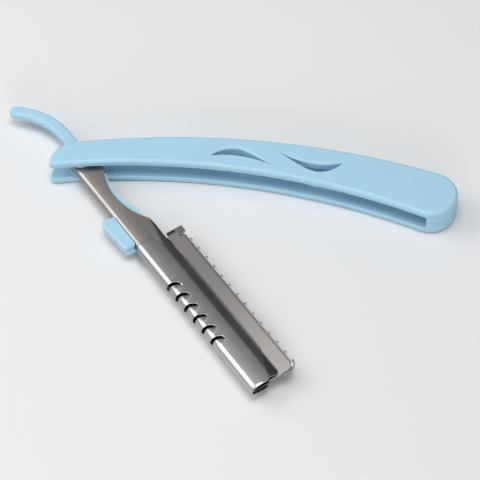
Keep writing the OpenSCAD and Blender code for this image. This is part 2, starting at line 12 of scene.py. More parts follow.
import bmesh
import bpy
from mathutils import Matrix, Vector

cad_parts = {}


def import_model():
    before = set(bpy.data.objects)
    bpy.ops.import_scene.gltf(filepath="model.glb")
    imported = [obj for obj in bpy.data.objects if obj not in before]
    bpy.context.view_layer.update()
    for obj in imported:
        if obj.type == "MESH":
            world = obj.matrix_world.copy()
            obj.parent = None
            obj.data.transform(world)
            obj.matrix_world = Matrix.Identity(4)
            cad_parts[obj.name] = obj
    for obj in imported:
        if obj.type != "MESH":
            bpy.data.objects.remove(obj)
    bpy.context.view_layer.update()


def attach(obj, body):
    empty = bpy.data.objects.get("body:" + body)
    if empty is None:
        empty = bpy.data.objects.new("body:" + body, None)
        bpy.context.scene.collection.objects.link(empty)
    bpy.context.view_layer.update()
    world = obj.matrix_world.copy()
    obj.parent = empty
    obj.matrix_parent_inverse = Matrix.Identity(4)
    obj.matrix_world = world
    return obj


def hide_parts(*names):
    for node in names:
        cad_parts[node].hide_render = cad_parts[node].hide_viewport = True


LOG = logging.getLogger("razor")

# One millimetre, the arm's turn in the photographed pose, and the height of the plane between the scales
MM = 0.001
REST_ANGLE = -55.8
PARTING = 5.2

# How far a cutter reaches past what it cuts
PAST = 1.0

# Points closer than these count as one: on a drawing, on a finished piece, at a height, on a row
DRAWN_GAP = 0.001
FINISHED_GAP = 0.0005
LEVEL_GAP = 0.005
ROW_GAP = 0.01

# The least angle of a sharp corner, in radians, and the least upward share of a top face's normal
SHARP_ANGLE = 0.6
TOP_SHARE = 0.9

# Faces round a bar and round a peg
BAR_SIDES = 48
PEG_SIDES = 24

# The range that most of the grain's soft cloud keeps to
CLOUD_RANGE = (0.3, 0.7)

Point = tuple[float, float]
Colour = tuple[float, float, float]
# A row of the sleeve's sheet: its y and z, and the outward direction's y and z
Row = tuple[float, float, float, float]


class Plane(Enum):
    """The plane that an outline is drawn in, by the axis that an arc turns about."""

    TOP = (0.0, 0.0, 1.0)
    END = (1.0, 0.0, 0.0)
    FRONT = (0.0, -1.0, 0.0)

    def place(self, point: Point, at: float) -> tuple[float, float, float]:
        """Puts a drawn point in space.

        Args:
            point: the point's two coordinates in the plane.
            at: the plane's own place along its axis.

        Returns:
            The point's place in space.
        """
        if self is Plane.TOP:
            return (point[0], point[1], at)
        if self is Plane.END:
            return (at, point[0], point[1])
        return (point[0], at, point[1])


class Joining(Enum):
    """What a second solid does to the first one."""

    CUT = "DIFFERENCE"
    WELD = "UNION"
    TRIM = "INTERSECT"


def choose_only(obj: bpy.types.Object) -> None:
    """Selects one object and makes it the active one.

    Args:
        obj: the object.
    """
    bpy.ops.object.select_all(action="DESELECT")
    obj.select_set(True)
    bpy.context.view_layer.objects.active = obj


@contextmanager
def editing(obj: bpy.types.Object) -> Iterator[None]:
    """Opens edit mode on one object and closes it again.

    Args:
        obj: the object to edit.
    """
    choose_only(obj)
    bpy.ops.object.mode_set(mode="EDIT")
    try:
        yield
    finally:
        bpy.ops.object.mode_set(mode="OBJECT")


def ray(degrees: float) -> Vector:
    """Direction in the plan at an angle from +Y towards +X."""
    return Vector((math.sin(math.radians(degrees)), math.cos(math.radians(degrees))))


def turn_of(direction: Vector) -> float:
    """Angle of a direction from +Y towards +X, from 0 to 360 degrees."""
    return math.degrees(math.atan2(direction.x, direction.y)) % 360


def smooth_step(share: float) -> float:
    """Eases a share between 0 and 1, so that it starts and ends level."""
    share = min(max(share, 0.0), 1.0)
    return share * share * (3 - 2 * share)


def cubic(corners: list[Vector], share: float) -> Vector:
    """Finds the place at a share of a cubic curve with four control points.

    Args:
        corners: the four control points.
        share: how far along the curve, from 0 to 1.

    Returns:
        The place.
    """
    rest = 1 - share
    weights = (rest ** 3, 3 * rest ** 2 * share, 3 * rest * share ** 2, share ** 3)
    return sum((weight * corner for weight, corner in zip(weights, corners)), Vector((0.0, 0.0)))


class Solid:
    """A solid on the bench, in millimetres."""

    def __init__(self, obj: bpy.types.Object) -> None:
        """Takes over an object that stands at the origin."""
        self.obj = obj

    @contextmanager
    def picking(self, kind: str, test: Callable) -> Iterator[int]:
        """Opens edit mode with some of the mesh selected.

        Args:
            kind: VERT, EDGE or FACE.
            test: says of one vertex, edge or face whether it is wanted.

        Yields:
            How many were selected.
        """
        with editing(self.obj):
            bpy.ops.mesh.select_mode(type=kind)
            bpy.ops.mesh.select_all(action="DESELECT")
            mesh = bmesh.from_edit_mesh(self.obj.data)
            found = [part for part in {"VERT": mesh.verts, "EDGE": mesh.edges, "FACE": mesh.faces}[kind]
                     if test(part)]
            for part in found:
                part.select_set(True)
            bmesh.update_edit_mesh(self.obj.data)
            yield len(found)

    def bevel(self, width: float, steps: int, test: Callable) -> "Solid":
        """Rounds the edges that a test picks.

        Args:
            width: the round's width.
            steps: faces across the round.
            test: says of one edge whether it is wanted.

        Returns:
            The solid itself.
        """
        with self.picking("EDGE", test) as count:
            if count:
                bpy.ops.mesh.bevel(offset=width, segments=steps, affect="EDGES", clamp_overlap=False,
                                   miter_outer="ARC")
        return self

    def join(self, tool: "Solid", how: Joining) -> "Solid":
        """Cuts, welds or trims this solid with another one, which is used up.

        Args:
            tool: the other solid.
            how: what it does to this one.

        Returns:
            The solid itself.
        """
        choose_only(self.obj)
        change = self.obj.modifiers.new("Joining", "BOOLEAN")
        change.operation = how.value
        change.solver = "EXACT"
        change.object = tool.obj
        bpy.ops.object.modifier_apply(modifier=change.name)
        bpy.data.objects.remove(tool.obj, do_unlink=True)
        return self

    def cut(self, tool: "Solid") -> "Solid":
        """Takes another solid's shape out of this one."""
        return self.join(tool, Joining.CUT)

    def weld(self, tool: "Solid") -> "Solid":
        """Adds another solid to this one."""
        return self.join(tool, Joining.WELD)

    def trim(self, tool: "Solid") -> "Solid":
        """Keeps only what lies inside another solid."""
        return self.join(tool, Joining.TRIM)

    def soften(self, width: float, steps: int, angle: float) -> "Solid":
        """Rounds every edge that is sharper than an angle.

        Args:
            width: the round's width.
            steps: faces across the round.
            angle: the angle, in degrees.

        Returns:
            The solid itself.
        """
        choose_only(self.obj)
        change = self.obj.modifiers.new("Softening", "BEVEL")
        change.width = width
        change.segments = steps
        change.limit_method = "ANGLE"
        change.angle_limit = math.radians(angle)
        change.use_clamp_overlap = False
        change.miter_outer = "MITER_ARC"
        bpy.ops.object.modifier_apply(modifier=change.name)
        return self

    def copy(self, offset: tuple[float, float, float]) -> "Solid":
        """Copies the solid, with a mesh of its own.

        Args:
            offset: from this solid to its copy.

        Returns:
            The copy.
        """
        choose_only(self.obj)
        bpy.ops.object.duplicate(linked=False)
        twin = bpy.context.object
        with editing(twin):
            bpy.ops.mesh.select_all(action="SELECT")
            bpy.ops.transform.translate(value=offset)
        return Solid(twin)

    def flip(self) -> "Solid":
        """Turns the solid upside down through Z = 0, as its mirror image.

        Returns:
            The solid itself.
        """
        with editing(self.obj):
            bpy.ops.mesh.select_all(action="SELECT")
            bpy.ops.transform.resize(value=(1, 1, -1), center_override=(0, 0, 0))
            bpy.ops.mesh.normals_make_consistent(inside=False)
        return self

    def score(self, point: tuple[float, float, float], normal: tuple[float, float, float],
              test: Callable) -> "Solid":
        """Cuts a line into the faces that a test picks, where a plane crosses them.

        Args:
            point: a point in the plane.
            normal: the plane's normal.
            test: says of one face whether it is wanted.

        Returns:
            The solid itself.
        """
        with self.picking("FACE", test):
            bpy.ops.mesh.bisect(plane_co=point, plane_no=Vector(normal).normalized())
        return self

    def bend_sheet(self, drop: Callable[[Vector], float]) -> "Solid":
        """Moves every vertex straight towards Z = 0.

        Args:
            drop: how far, for a vertex's place.

        Returns:
            The solid itself.
        """
        for vertex in self.obj.data.vertices:
            vertex.co.z -= math.copysign(drop(vertex.co), vertex.co.z)
        return self

    def finish(self, turn: float, lift: float, smooth: float = 35.0) -> bpy.types.Object:
        """Sets the solid in its place in the razor, in metres, and smooths its shading.

        Args:
            turn: turn about the pivot, in degrees.
            lift: height above the surface that the razor rests on.
            smooth: the angle under which neighbouring faces shade as one.

        Returns:
            The finished object, at the origin.
        """
        with editing(self.obj):
            bpy.ops.mesh.select_all(action="SELECT")
            bpy.ops.mesh.remove_doubles(threshold=FINISHED_GAP)
            bpy.ops.mesh.normals_make_consistent(inside=False)
        self.obj.rotation_euler.z = math.radians(turn)
        self.obj.location.z = lift * MM
        self.obj.scale = (MM, MM, MM)
        choose_only(self.obj)
        bpy.ops.object.transform_apply(location=True, rotation=True, scale=True)
        bpy.ops.object.shade_smooth_by_angle(angle=math.radians(smooth))
        shading = self.obj.modifiers.new("Shading", "WEIGHTED_NORMAL")
        shading.keep_sharp = True
        bpy.ops.object.modifier_apply(modifier=shading.name)
        return self.obj


class Drawing:
    """An outline drawn from one vertex by lines and arcs, then filled and given a depth."""

    def __init__(self, name: str, start: Point, plane: Plane = Plane.TOP, at: float = 0.0) -> None:
        """Puts down the first vertex.

        Args:
            name: the name of the object that the outline becomes.
            start: the first point.
            plane: the plane that is drawn in.
            at: the plane's place along its axis.
        """
        self.plane = plane
        self.at = at
        self.last = Vector(start)
        bpy.ops.mesh.primitive_plane_add(size=1, location=(0, 0, 0))
        self.obj = bpy.context.object
        self.obj.name = name
        choose_only(self.obj)
        bpy.ops.object.mode_set(mode="EDIT")
        bpy.ops.mesh.select_mode(type="VERT")
        bpy.ops.mesh.select_all(action="SELECT")
        bpy.ops.mesh.merge(type="CENTER")
        bpy.ops.transform.translate(value=plane.place(start, at))

    def line(self, *points: Point) -> "Drawing":
        """Draws straight lines on to one point after another.

        Args:
            points: the points.

        Returns:
            The drawing itself.
        """
        for point in points:
            step = Vector(point) - self.last
            move = {"value": self.plane.place(tuple(step), 0.0)}
            bpy.ops.mesh.extrude_region_move(TRANSFORM_OT_translate=move)
            self.last = Vector(point)
        return self

    def arc(self, centre: Point, turn: float, steps: int) -> "Drawing":
        """Draws an arc.

        Args:
            centre: the arc's centre.
            turn: how far it turns, in degrees, clockwise.
            steps: edges along it.

        Returns:
            The drawing itself.
        """
        middle = self.plane.place(tuple(centre), self.at)
        bpy.ops.mesh.spin(steps=steps, angle=math.radians(turn), center=middle, axis=self.plane.value)
        arm = self.last - Vector(centre)
        turned = math.radians(-turn)
        self.last = Vector(centre) + Vector((arm.x * math.cos(turned) - arm.y * math.sin(turned),
                                             arm.x * math.sin(turned) + arm.y * math.cos(turned)))
        return self

    def depth(self, amount: float) -> Solid:
        """Closes and fills the outline and extrudes it.

        Args:
            amount: how far, along the plane's axis.

        Returns:
            The solid.
        """
        bpy.ops.mesh.select_all(action="SELECT")
        bpy.ops.mesh.remove_doubles(threshold=DRAWN_GAP)
        bpy.ops.mesh.select_all(action="SELECT")
        bpy.ops.mesh.edge_face_add()
        reach = tuple(abs(share) * amount for share in self.plane.value)
        bpy.ops.mesh.extrude_region_move(TRANSFORM_OT_translate={"value": reach})
        bpy.ops.mesh.select_all(action="SELECT")
        bpy.ops.mesh.normals_make_consistent(inside=False)
        bpy.ops.object.mode_set(mode="OBJECT")
        return Solid(self.obj)


def round_bar(centre: tuple[float, float], low: float, high: float, radius: float,
              sides: int = BAR_SIDES) -> Solid:
    """Makes an upright round bar.

    Args:
        centre: its axis, seen from above.
        low: height of its lower end.
        high: height of its upper end.
        radius: its radius.
        sides: faces round it.

    Returns:
        The solid.
    """
    start = (centre[0] + radius, centre[1])
    drawing = Drawing("bar", start, at=low)
    drawing.arc(centre, 360, sides)
    return drawing.depth(high - low)


def level(edge: bmesh.types.BMEdge, height: float) -> bool:
    """Says whether an edge lies at a height."""
    return all(abs(vertex.co.z - height) < LEVEL_GAP for vertex in edge.verts)


def sharp_out(edge: bmesh.types.BMEdge) -> bool:
    """Says whether an edge is a sharp outer corner."""
    return len(edge.link_faces) == 2 and edge.is_convex and edge.calc_face_angle(0.0) > SHARP_ANGLE


class Shader:
    """A node tree, with short ways to add and join its nodes."""

    def __init__(self, tree: bpy.types.NodeTree) -> None:
        """Takes over a node tree."""
        self.tree = tree

    def add(self, kind: str, **sockets: object) -> bpy.types.Node:
        """Adds a node.

        Args:
            kind: the node's type, without the words ShaderNode.
            sockets: values or outputs for its inputs, with _ for a space in a name and i0, i1 for
                numbered inputs, and settings whose names start with set_.

        Returns:
            The node.
        """
        node = self.tree.nodes.new("ShaderNode" + kind)
        for key, value in sockets.items():
            if key.startswith("set_"):
                setattr(node, key[4:], value)
        for key, value in sockets.items():
            if not key.startswith("set_"):
                numbered = key[0] == "i" and key[1:].isdigit()
                self.feed(node.inputs[int(key[1:]) if numbered else key.replace("_", " ")], value)
        return node

    def feed(self, socket: bpy.types.NodeSocket, value: object) -> None:
        """Gives a socket a value, or joins an output to it.

        Args:
            socket: the socket.
            value: a value, a colour or another node's output.
        """
        if isinstance(value, bpy.types.NodeSocket):
            self.tree.links.new(value, socket)
        elif isinstance(value, tuple) and socket.type == "RGBA":
            socket.default_value = (*value, 1.0)
        else:
            socket.default_value = value

    def maths(self, operation: str, first: object, second: object = 0.0) -> bpy.types.NodeSocket:
        """Adds a sum of two values and returns its result."""
        return self.add("Math", set_operation=operation, i0=first, i1=second).outputs[0]

    def spread(self, value: object, low: float, high: float, to_low: object,
               to_high: object) -> bpy.types.NodeSocket:
        """Maps a range of values to another one, smoothly, and returns the result."""
        return self.add("MapRange", Value=value, From_Min=low, From_Max=high, To_Min=to_low,
                        To_Max=to_high, set_interpolation_type="SMOOTHSTEP").outputs[0]

    def blend(self, share: object, first: object, second: object) -> bpy.types.NodeSocket:
        """Mixes two colours and returns the result."""
        return self.add("Mix", set_data_type="RGBA", i0=share, i6=first, i7=second).outputs[2]


def new_group(name: str, inputs: dict[str, float], outputs: list[str]) \
        -> tuple[Shader, bpy.types.Node, bpy.types.Node]:
    """Starts a shader group whose sockets are all values.

    Args:
        name: the group's name.
        inputs: the first value of each input, by name.
        outputs: the outputs' names.

    Returns:
        The group's shader, its input node and its output node.
    """
    tree = bpy.data.node_groups.new(name, "ShaderNodeTree")
    for label, value in inputs.items():
        socket = tree.interface.new_socket(label, in_out="INPUT", socket_type="NodeSocketFloat")
        socket.default_value = value
    for label in outputs:
        tree.interface.new_socket(label, in_out="OUTPUT", socket_type="NodeSocketFloat")
    return Shader(tree), tree.nodes.new("NodeGroupInput"), tree.nodes.new("NodeGroupOutput")


def times(colour: Colour, factor: float) -> Colour:
    """Makes a colour brighter or darker."""
    return tuple(factor * part for part in colour)


def arm_place(shader: Shader) -> bpy.types.NodeSocket:
    """Adds the place on the object, turned to the arm's own directions, and returns it."""
    place = shader.add("TexCoord").outputs["Object"]
    return shader.add("Mapping", Vector=place, Rotation=(0.0, 0.0, math.radians(-REST_ANGLE))).outputs[0]


def paint_light_towards_tip(shader: Shader, reach: bpy.types.NodeSocket, colour: Colour,
                painted_gain: float) -> bpy.types.NodeSocket:
    """Paints a colour brighter along the arm, as painted light, and returns the result."""
    return shader.blend(reach, colour, times(colour, painted_gain))


class Effects:
    """The shader groups that several finishes share."""

    cloud_coarseness: float = 20.0
    streak_scale: float = 0.2

    def __init__(self) -> None:
        """Builds the groups once."""
        self.grain = self.make_grain()
        self.lines = self.make_lines()
        self.edges = self.make_edges()
        self.reach = self.make_reach()

    def make_grain(self) -> bpy.types.NodeTree:
        """Builds fine uneven grain, with a much coarser soft cloud.

        Returns:
            The group's node tree.
        """
        shader, given, put = new_group("FineGrain", {"Scale": 2000.0}, ["Cloud", "Height"])
        place = shader.add("TexCoord").outputs["Object"]
        coarse = shader.maths("DIVIDE", given.outputs["Scale"], self.cloud_coarseness)
        cloud = shader.add("TexNoise", Vector=place, Scale=coarse, Detail=3.0)
        fine = shader.add("TexNoise", Vector=place, Scale=given.outputs["Scale"], Detail=2.0)
        shader.feed(put.inputs["Cloud"], cloud.outputs["Fac"])
        shader.feed(put.inputs["Height"], fine.outputs["Fac"])
        return shader.tree

    def make_lines(self) -> bpy.types.NodeTree:
        """Builds fine straight lines in the arm's own directions.

        Returns:
            The group's node tree.
        """
        shader, given, put = new_group("FineLines", {"Along": 60.0, "Across": 6000.0}, ["Line", "Streak"])
        scales = shader.add("CombineXYZ", X=given.outputs["Along"], Y=given.outputs["Across"],
                            Z=given.outputs["Across"])
        spread = shader.add("VectorMath", set_operation="MULTIPLY", i0=arm_place(shader),
                            i1=scales.outputs[0])
        fine = shader.add("TexNoise", Vector=spread.outputs[0], Scale=1.0, Detail=2.0)
        wide = shader.add("TexNoise", Vector=spread.outputs[0], Scale=self.streak_scale, Detail=1.0)
        shader.feed(put.inputs["Line"], fine.outputs["Fac"])
        shader.feed(put.inputs["Streak"], wide.outputs["Fac"])
        return shader.tree

    @staticmethod
    def make_reach() -> bpy.types.NodeTree:
        """Builds a share that grows along the arm between two places, from 0 to 1.

        Returns:
            The group's node tree.
        """
        shader, given, put = new_group("AlongArm", {"From": 0.04, "To": 0.104}, ["Share"])
        along = shader.add("SeparateXYZ", Vector=arm_place(shader)).outputs["X"]
        share = shader.spread(along, given.outputs["From"], given.outputs["To"], 0.0, 1.0)
        shader.feed(put.inputs["Share"], share)
        return shader.tree

    @staticmethod
    def make_edges() -> bpy.types.NodeTree:
        """Builds a mask of the places close to a sharp edge, where the finishes paint a highlight.

        Returns:
            The group's node tree.
        """
        shader, given, put = new_group("NearEdges", {"Radius": 0.0003, "Strength": 4.0}, ["Edge"])
        rounded = shader.add("Bevel", Radius=given.outputs["Radius"], set_samples=6)
        true = shader.add("NewGeometry").outputs["Normal"]
        match = shader.add("VectorMath", set_operation="DOT_PRODUCT", i0=rounded.outputs[0], i1=true)
        away = shader.maths("SUBTRACT", 1.0, match.outputs["Value"])
        strong = shader.maths("MULTIPLY", away, given.outputs["Strength"])
        mask = shader.add("Math", set_operation="MINIMUM", i0=strong, i1=1.0)
        shader.feed(put.inputs["Edge"], mask.outputs[0])
        return shader.tree


class Finish:
    """A finish, which makes one material the first time that it is asked for."""

    name: str

    def material(self, effects: Effects) -> bpy.types.Material:
        """Gives the finish's material.

        Args:
            effects: the shared shader groups.

        Returns:
            The material.
        """
        found = bpy.data.materials.get(self.name)
        if found is not None:
            return found
        made = bpy.data.materials.new(self.name)
        made.use_nodes = True
        made.node_tree.nodes.clear()
        shader = Shader(made.node_tree)
        surface = self.surface(shader, effects)
        shader.add("OutputMaterial", Surface=surface.outputs[0])
        return made

    def surface(self, shader: Shader, effects: Effects) -> bpy.types.Node:
        """Builds the finish's surface in a node tree and returns its last node."""
        raise NotImplementedError


@dataclass(frozen=True)
class MouldedPlastic(Finish):
    """Satin moulded plastic."""

    name: str
    colour: Colour
    # The second colour is a painted highlight along the edges
    painted_highlight_colour: Colour
    rough: float = 0.42
    # How the cloud and the grain change the gloss, the shade and the surface
    rough_change: float = 0.04
    deep_shade: float = 0.96
    grain_scale: float = 2600.0
    grain_strength: float = 0.12
    grain_height: float = 0.00002
    # The painted highlight along the edges
    painted_highlight_radius: float = 0.0005
    painted_highlight_strength: float = 2.5
    painted_highlight_share: float = 0.6
    # The gloss, and the light that goes under the surface
    refraction: float = 1.46
    inner_light: float = 0.06
    inner_reach: Colour = (0.4, 0.7, 1.0)
    inner_depth: float = 0.001

    def surface(self, shader: Shader, effects: Effects) -> bpy.types.Node:
        """Builds an even colour with fine grain, with a painted highlight along the edges.

        Args:
            shader: the material's node tree.
            effects: the shared shader groups.

        Returns:
            The surface's last node.
        """
        grain = shader.add("Group", set_node_tree=effects.grain, Scale=self.grain_scale)
        edges = shader.add("Group", set_node_tree=effects.edges, Radius=self.painted_highlight_radius,
                           Strength=self.painted_highlight_strength)
        even = shader.blend(grain.outputs["Cloud"], times(self.colour, self.deep_shade), self.colour)
        # Near the edges the colour is blended towards the paler one: a painted highlight
        rim = shader.maths("MULTIPLY", edges.outputs["Edge"], self.painted_highlight_share)
        colour = shader.blend(rim, even, self.painted_highlight_colour)
        gloss = shader.spread(grain.outputs["Cloud"], *CLOUD_RANGE, self.rough - self.rough_change,
                              self.rough + self.rough_change)
        bump = shader.add("Bump", Height=grain.outputs["Height"], Strength=self.grain_strength,
                          Distance=self.grain_height)
        return shader.add("BsdfPrincipled", Base_Color=colour, Roughness=gloss, IOR=self.refraction,
                          Subsurface_Weight=self.inner_light, Subsurface_Radius=self.inner_reach,
                          Subsurface_Scale=self.inner_depth, Normal=bump.outputs[0])


@dataclass(frozen=True)
class BrushedSteel(Finish):
    """Steel with fine lines along or across the arm."""

    name: str
    colour: Colour
    # The second colour is a painted highlight along the edges
    painted_highlight_colour: Colour
    rough: float
    along: float = 60.0
    across: float = 5000.0
    contrast: float = 0.1
    height: float = 0.00002
    # The lines' bump, their share beside the wide streaks, and the range that shows
    strength: float = 0.3
    line_share: float = 0.6
    line_range: tuple[float, float] = (0.35, 0.65)
    grain_scale: float = 1500.0
    rough_less: float = 0.03
    rough_more: float = 0.05
    # The painted highlight along the edges
    painted_highlight_radius: float = 0.00025
    painted_highlight_strength: float = 3.0
    # How much brighter the tip is painted, as painted light, and between which places it becomes so
    painted_tip_light: float = 1.0
    gain_from: float = 0.045
    gain_to: float = 0.1

    def surface(self, shader: Shader, effects: Effects) -> bpy.types.Node:
        """Builds the metal's colour and gloss from the lines, with a painted highlight along the edges and
        painted light towards the tip.

        Args:
            shader: the material's node tree.
            effects: the shared shader groups.

        Returns:
            The surface's last node.
        """
        lines = shader.add("Group", set_node_tree=effects.lines, Along=self.along, Across=self.across)
        edges = shader.add("Group", set_node_tree=effects.edges, Radius=self.painted_highlight_radius,
                           Strength=self.painted_highlight_strength)
        grain = shader.add("Group", set_node_tree=effects.grain, Scale=self.grain_scale)
        reach = shader.add("Group", set_node_tree=effects.reach, From=self.gain_from,
                           To=self.gain_to).outputs[0]
        # Both shades are painted brighter towards the tip: painted light
        dark, light = (paint_light_towards_tip(shader, reach, times(self.colour, 1 + side), self.painted_tip_light)
                       for side in (-self.contrast, self.contrast))
        mixed = shader.maths("ADD", shader.maths("MULTIPLY", lines.outputs["Line"], self.line_share),
                             shader.maths("MULTIPLY", lines.outputs["Streak"], 1 - self.line_share))
        share = shader.spread(mixed, *self.line_range, 0.0, 1.0)
        # Near the edges the colour is blended towards the paler one: a painted highlight
        colour = shader.blend(edges.outputs["Edge"], shader.blend(share, dark, light), self.painted_highlight_colour)
        gloss = shader.spread(grain.outputs["Cloud"], *CLOUD_RANGE, self.rough - self.rough_less,
                              self.rough + self.rough_more)
        bump = shader.add("Bump", Height=lines.outputs["Line"], Strength=self.strength,
                          Distance=self.height)
        return shader.add("BsdfPrincipled", Base_Color=colour, Metallic=1.0, Roughness=gloss,
                          Normal=bump.outputs[0])


@dataclass(frozen=True)
class GroundSteel(Finish):
    """The blade's steel, ground across its width in fine stripes that fade towards the tip."""

    name: str
    colour: Colour
    # The second colour is a painted highlight along the edges
    painted_highlight_colour: Colour
    rough: float = 0.36
    # The stripes across the blade, which fade towards the tip
    pitch: float = 0.9
    wobble: float = 1.2
    wobble_scale: float = 0.4
    stripe_share: float = 0.6
    tip_stripes: float = 0.35
    along: float = 5000.0
    across: float = 120.0
    shades: tuple[float, float] = (1.14, 0.84)
    height: float = 0.00002
    strength: float = 0.25
    # The painted highlight along the edges
    painted_highlight_radius: float = 0.0002
    painted_highlight_strength: float = 3.0
    # How much brighter the tip is painted, as painted light, and between which places it becomes so
    painted_tip_light: float = 1.6
    gain_from: float = 0.055
    gain_to: float = 0.106

    def surface(self, shader: Shader, effects: Effects) -> bpy.types.Node:
        """Builds the stripes across the blade on a fine ground, with a painted highlight along the edges and
        painted light towards the tip.

        Args:
            shader: the material's node tree.
            effects: the shared shader groups.

        Returns:
            The surface's last node.
        """
        reach = shader.add("Group", set_node_tree=effects.reach, From=self.gain_from,
                           To=self.gain_to).outputs[0]
        # The wave node counts a place twenty times, so this scale sets its stripes one pitch apart.
        stripe = shader.add("TexWave", Vector=arm_place(shader), Scale=math.pi / (10 * self.pitch * MM),
                            Distortion=self.wobble, Detail=2.0, Detail_Scale=self.wobble_scale)
        fading = shader.spread(reach, 0.0, 1.0, 1.0, self.tip_stripes)
        lines = shader.add("Group", set_node_tree=effects.lines, Along=self.along, Across=self.across)
        strength = shader.maths("MULTIPLY", stripe.outputs["Fac"], fading)
        share = shader.maths("ADD", shader.maths("MULTIPLY", strength, self.stripe_share),
                             shader.maths("MULTIPLY", lines.outputs["Line"], 1 - self.stripe_share))
        # Both shades are painted brighter towards the tip: painted light
        light, dark = (paint_light_towards_tip(shader, reach, times(self.colour, shade), self.painted_tip_light)
                       for shade in self.shades)
        edges = shader.add("Group", set_node_tree=effects.edges, Radius=self.painted_highlight_radius,
                           Strength=self.painted_highlight_strength)
        # Near the edges the colour is blended towards the paler one: a painted highlight
        colour = shader.blend(edges.outputs["Edge"], shader.blend(share, light, dark), self.painted_highlight_colour)
        bump = shader.add("Bump", Height=share, Strength=self.strength, Distance=self.height)
        return shader.add("BsdfPrincipled", Base_Color=colour, Metallic=1.0, Roughness=self.rough,
                          Normal=bump.outputs[0])


@dataclass(frozen=True)
class PaleFloor(Finish):
    """The studio's plain pale floor, which keeps the razor's shadow."""

    name: str
    colour: Colour
    deep_shade: float = 0.985
    grain_scale: float = 160.0
    rough: float = 0.9
    gloss: float = 0.1

    def surface(self, shader: Shader, effects: Effects) -> bpy.types.Node:
        """Builds a matt surface with a barely uneven tone.

        Args:
            shader: the material's node tree.
            effects: the shared shader groups.

        Returns:
            The surface's last node.
        """
        grain = shader.add("Group", set_node_tree=effects.grain, Scale=self.grain_scale)
        colour = shader.blend(grain.outputs["Cloud"], times(self.colour, self.deep_shade), self.colour)
        return shader.add("BsdfPrincipled", Base_Color=colour, Roughness=self.rough,
                          Specular_IOR_Level=self.gloss)


BLUE: Colour = (0.402, 0.652, 0.807)
# The paler blue is painted along the plastic's edges as a highlight
EDGE_HIGHLIGHT_BLUE: Colour = (0.56, 0.78, 0.9)
HANDLE_PLASTIC = MouldedPlastic("HandlePlastic", BLUE, EDGE_HIGHLIGHT_BLUE)
CORE_PLASTIC = MouldedPlastic("CorePlastic", BLUE, EDGE_HIGHLIGHT_BLUE, rough=0.5)
SLIDE_PLASTIC = MouldedPlastic("SlidePlastic", BLUE, EDGE_HIGHLIGHT_BLUE, rough=0.46)
# Each steel's second colour is its painted highlight along the edges
ARM_STEEL = BrushedSteel("ArmSteel", (0.3, 0.282, 0.266), (0.6, 0.57, 0.54), rough=0.3)
# The sleeve's steel is painted brighter towards the tip: painted light
SLEEVE_STEEL = BrushedSteel("SleeveSteel", (0.38, 0.376, 0.372), (0.8, 0.79, 0.78), rough=0.24,
                            across=2500.0, contrast=0.05, height=0.00001, painted_tip_light=1.3)
# Near-black steel for the slits' cut faces: painted shade where the slits fall dark
SLIT_SHADE_STEEL = BrushedSteel("SlitShadeSteel", (0.03, 0.028, 0.026), (0.05, 0.048, 0.046), rough=0.5)
# The blade is painted brighter towards the tip by its default gain: painted light
BLADE_STEEL = GroundSteel("BladeSteel", (0.37, 0.35, 0.337), (0.85, 0.83, 0.81))
GUARD_STEEL = BrushedSteel("GuardSteel", (0.36, 0.35, 0.34), (0.9, 0.89, 0.88), rough=0.18,
                           contrast=0.04, height=0.00001)
PIN_STEEL = BrushedSteel("PinSteel", (0.4, 0.4, 0.4), (0.6, 0.6, 0.6), rough=0.35)


def dress(obj: bpy.types.Object, finish: Finish, effects: Effects) -> None:
    """Gives an object one finish all over."""
    obj.data.materials.clear()
    obj.data.materials.append(finish.material(effects))


def hand_over(obj: bpy.types.Object, node: str, body: str) -> None:
    """Puts a finished piece in a node's place.

    Args:
        obj: the piece.
        node: the node that it stands for.
        body: the body that it moves with.
    """
    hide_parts(node)
    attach(obj, body)
    LOG.info("%s: %d faces, for %s on %s", obj.name, len(obj.data.polygons), node, body)


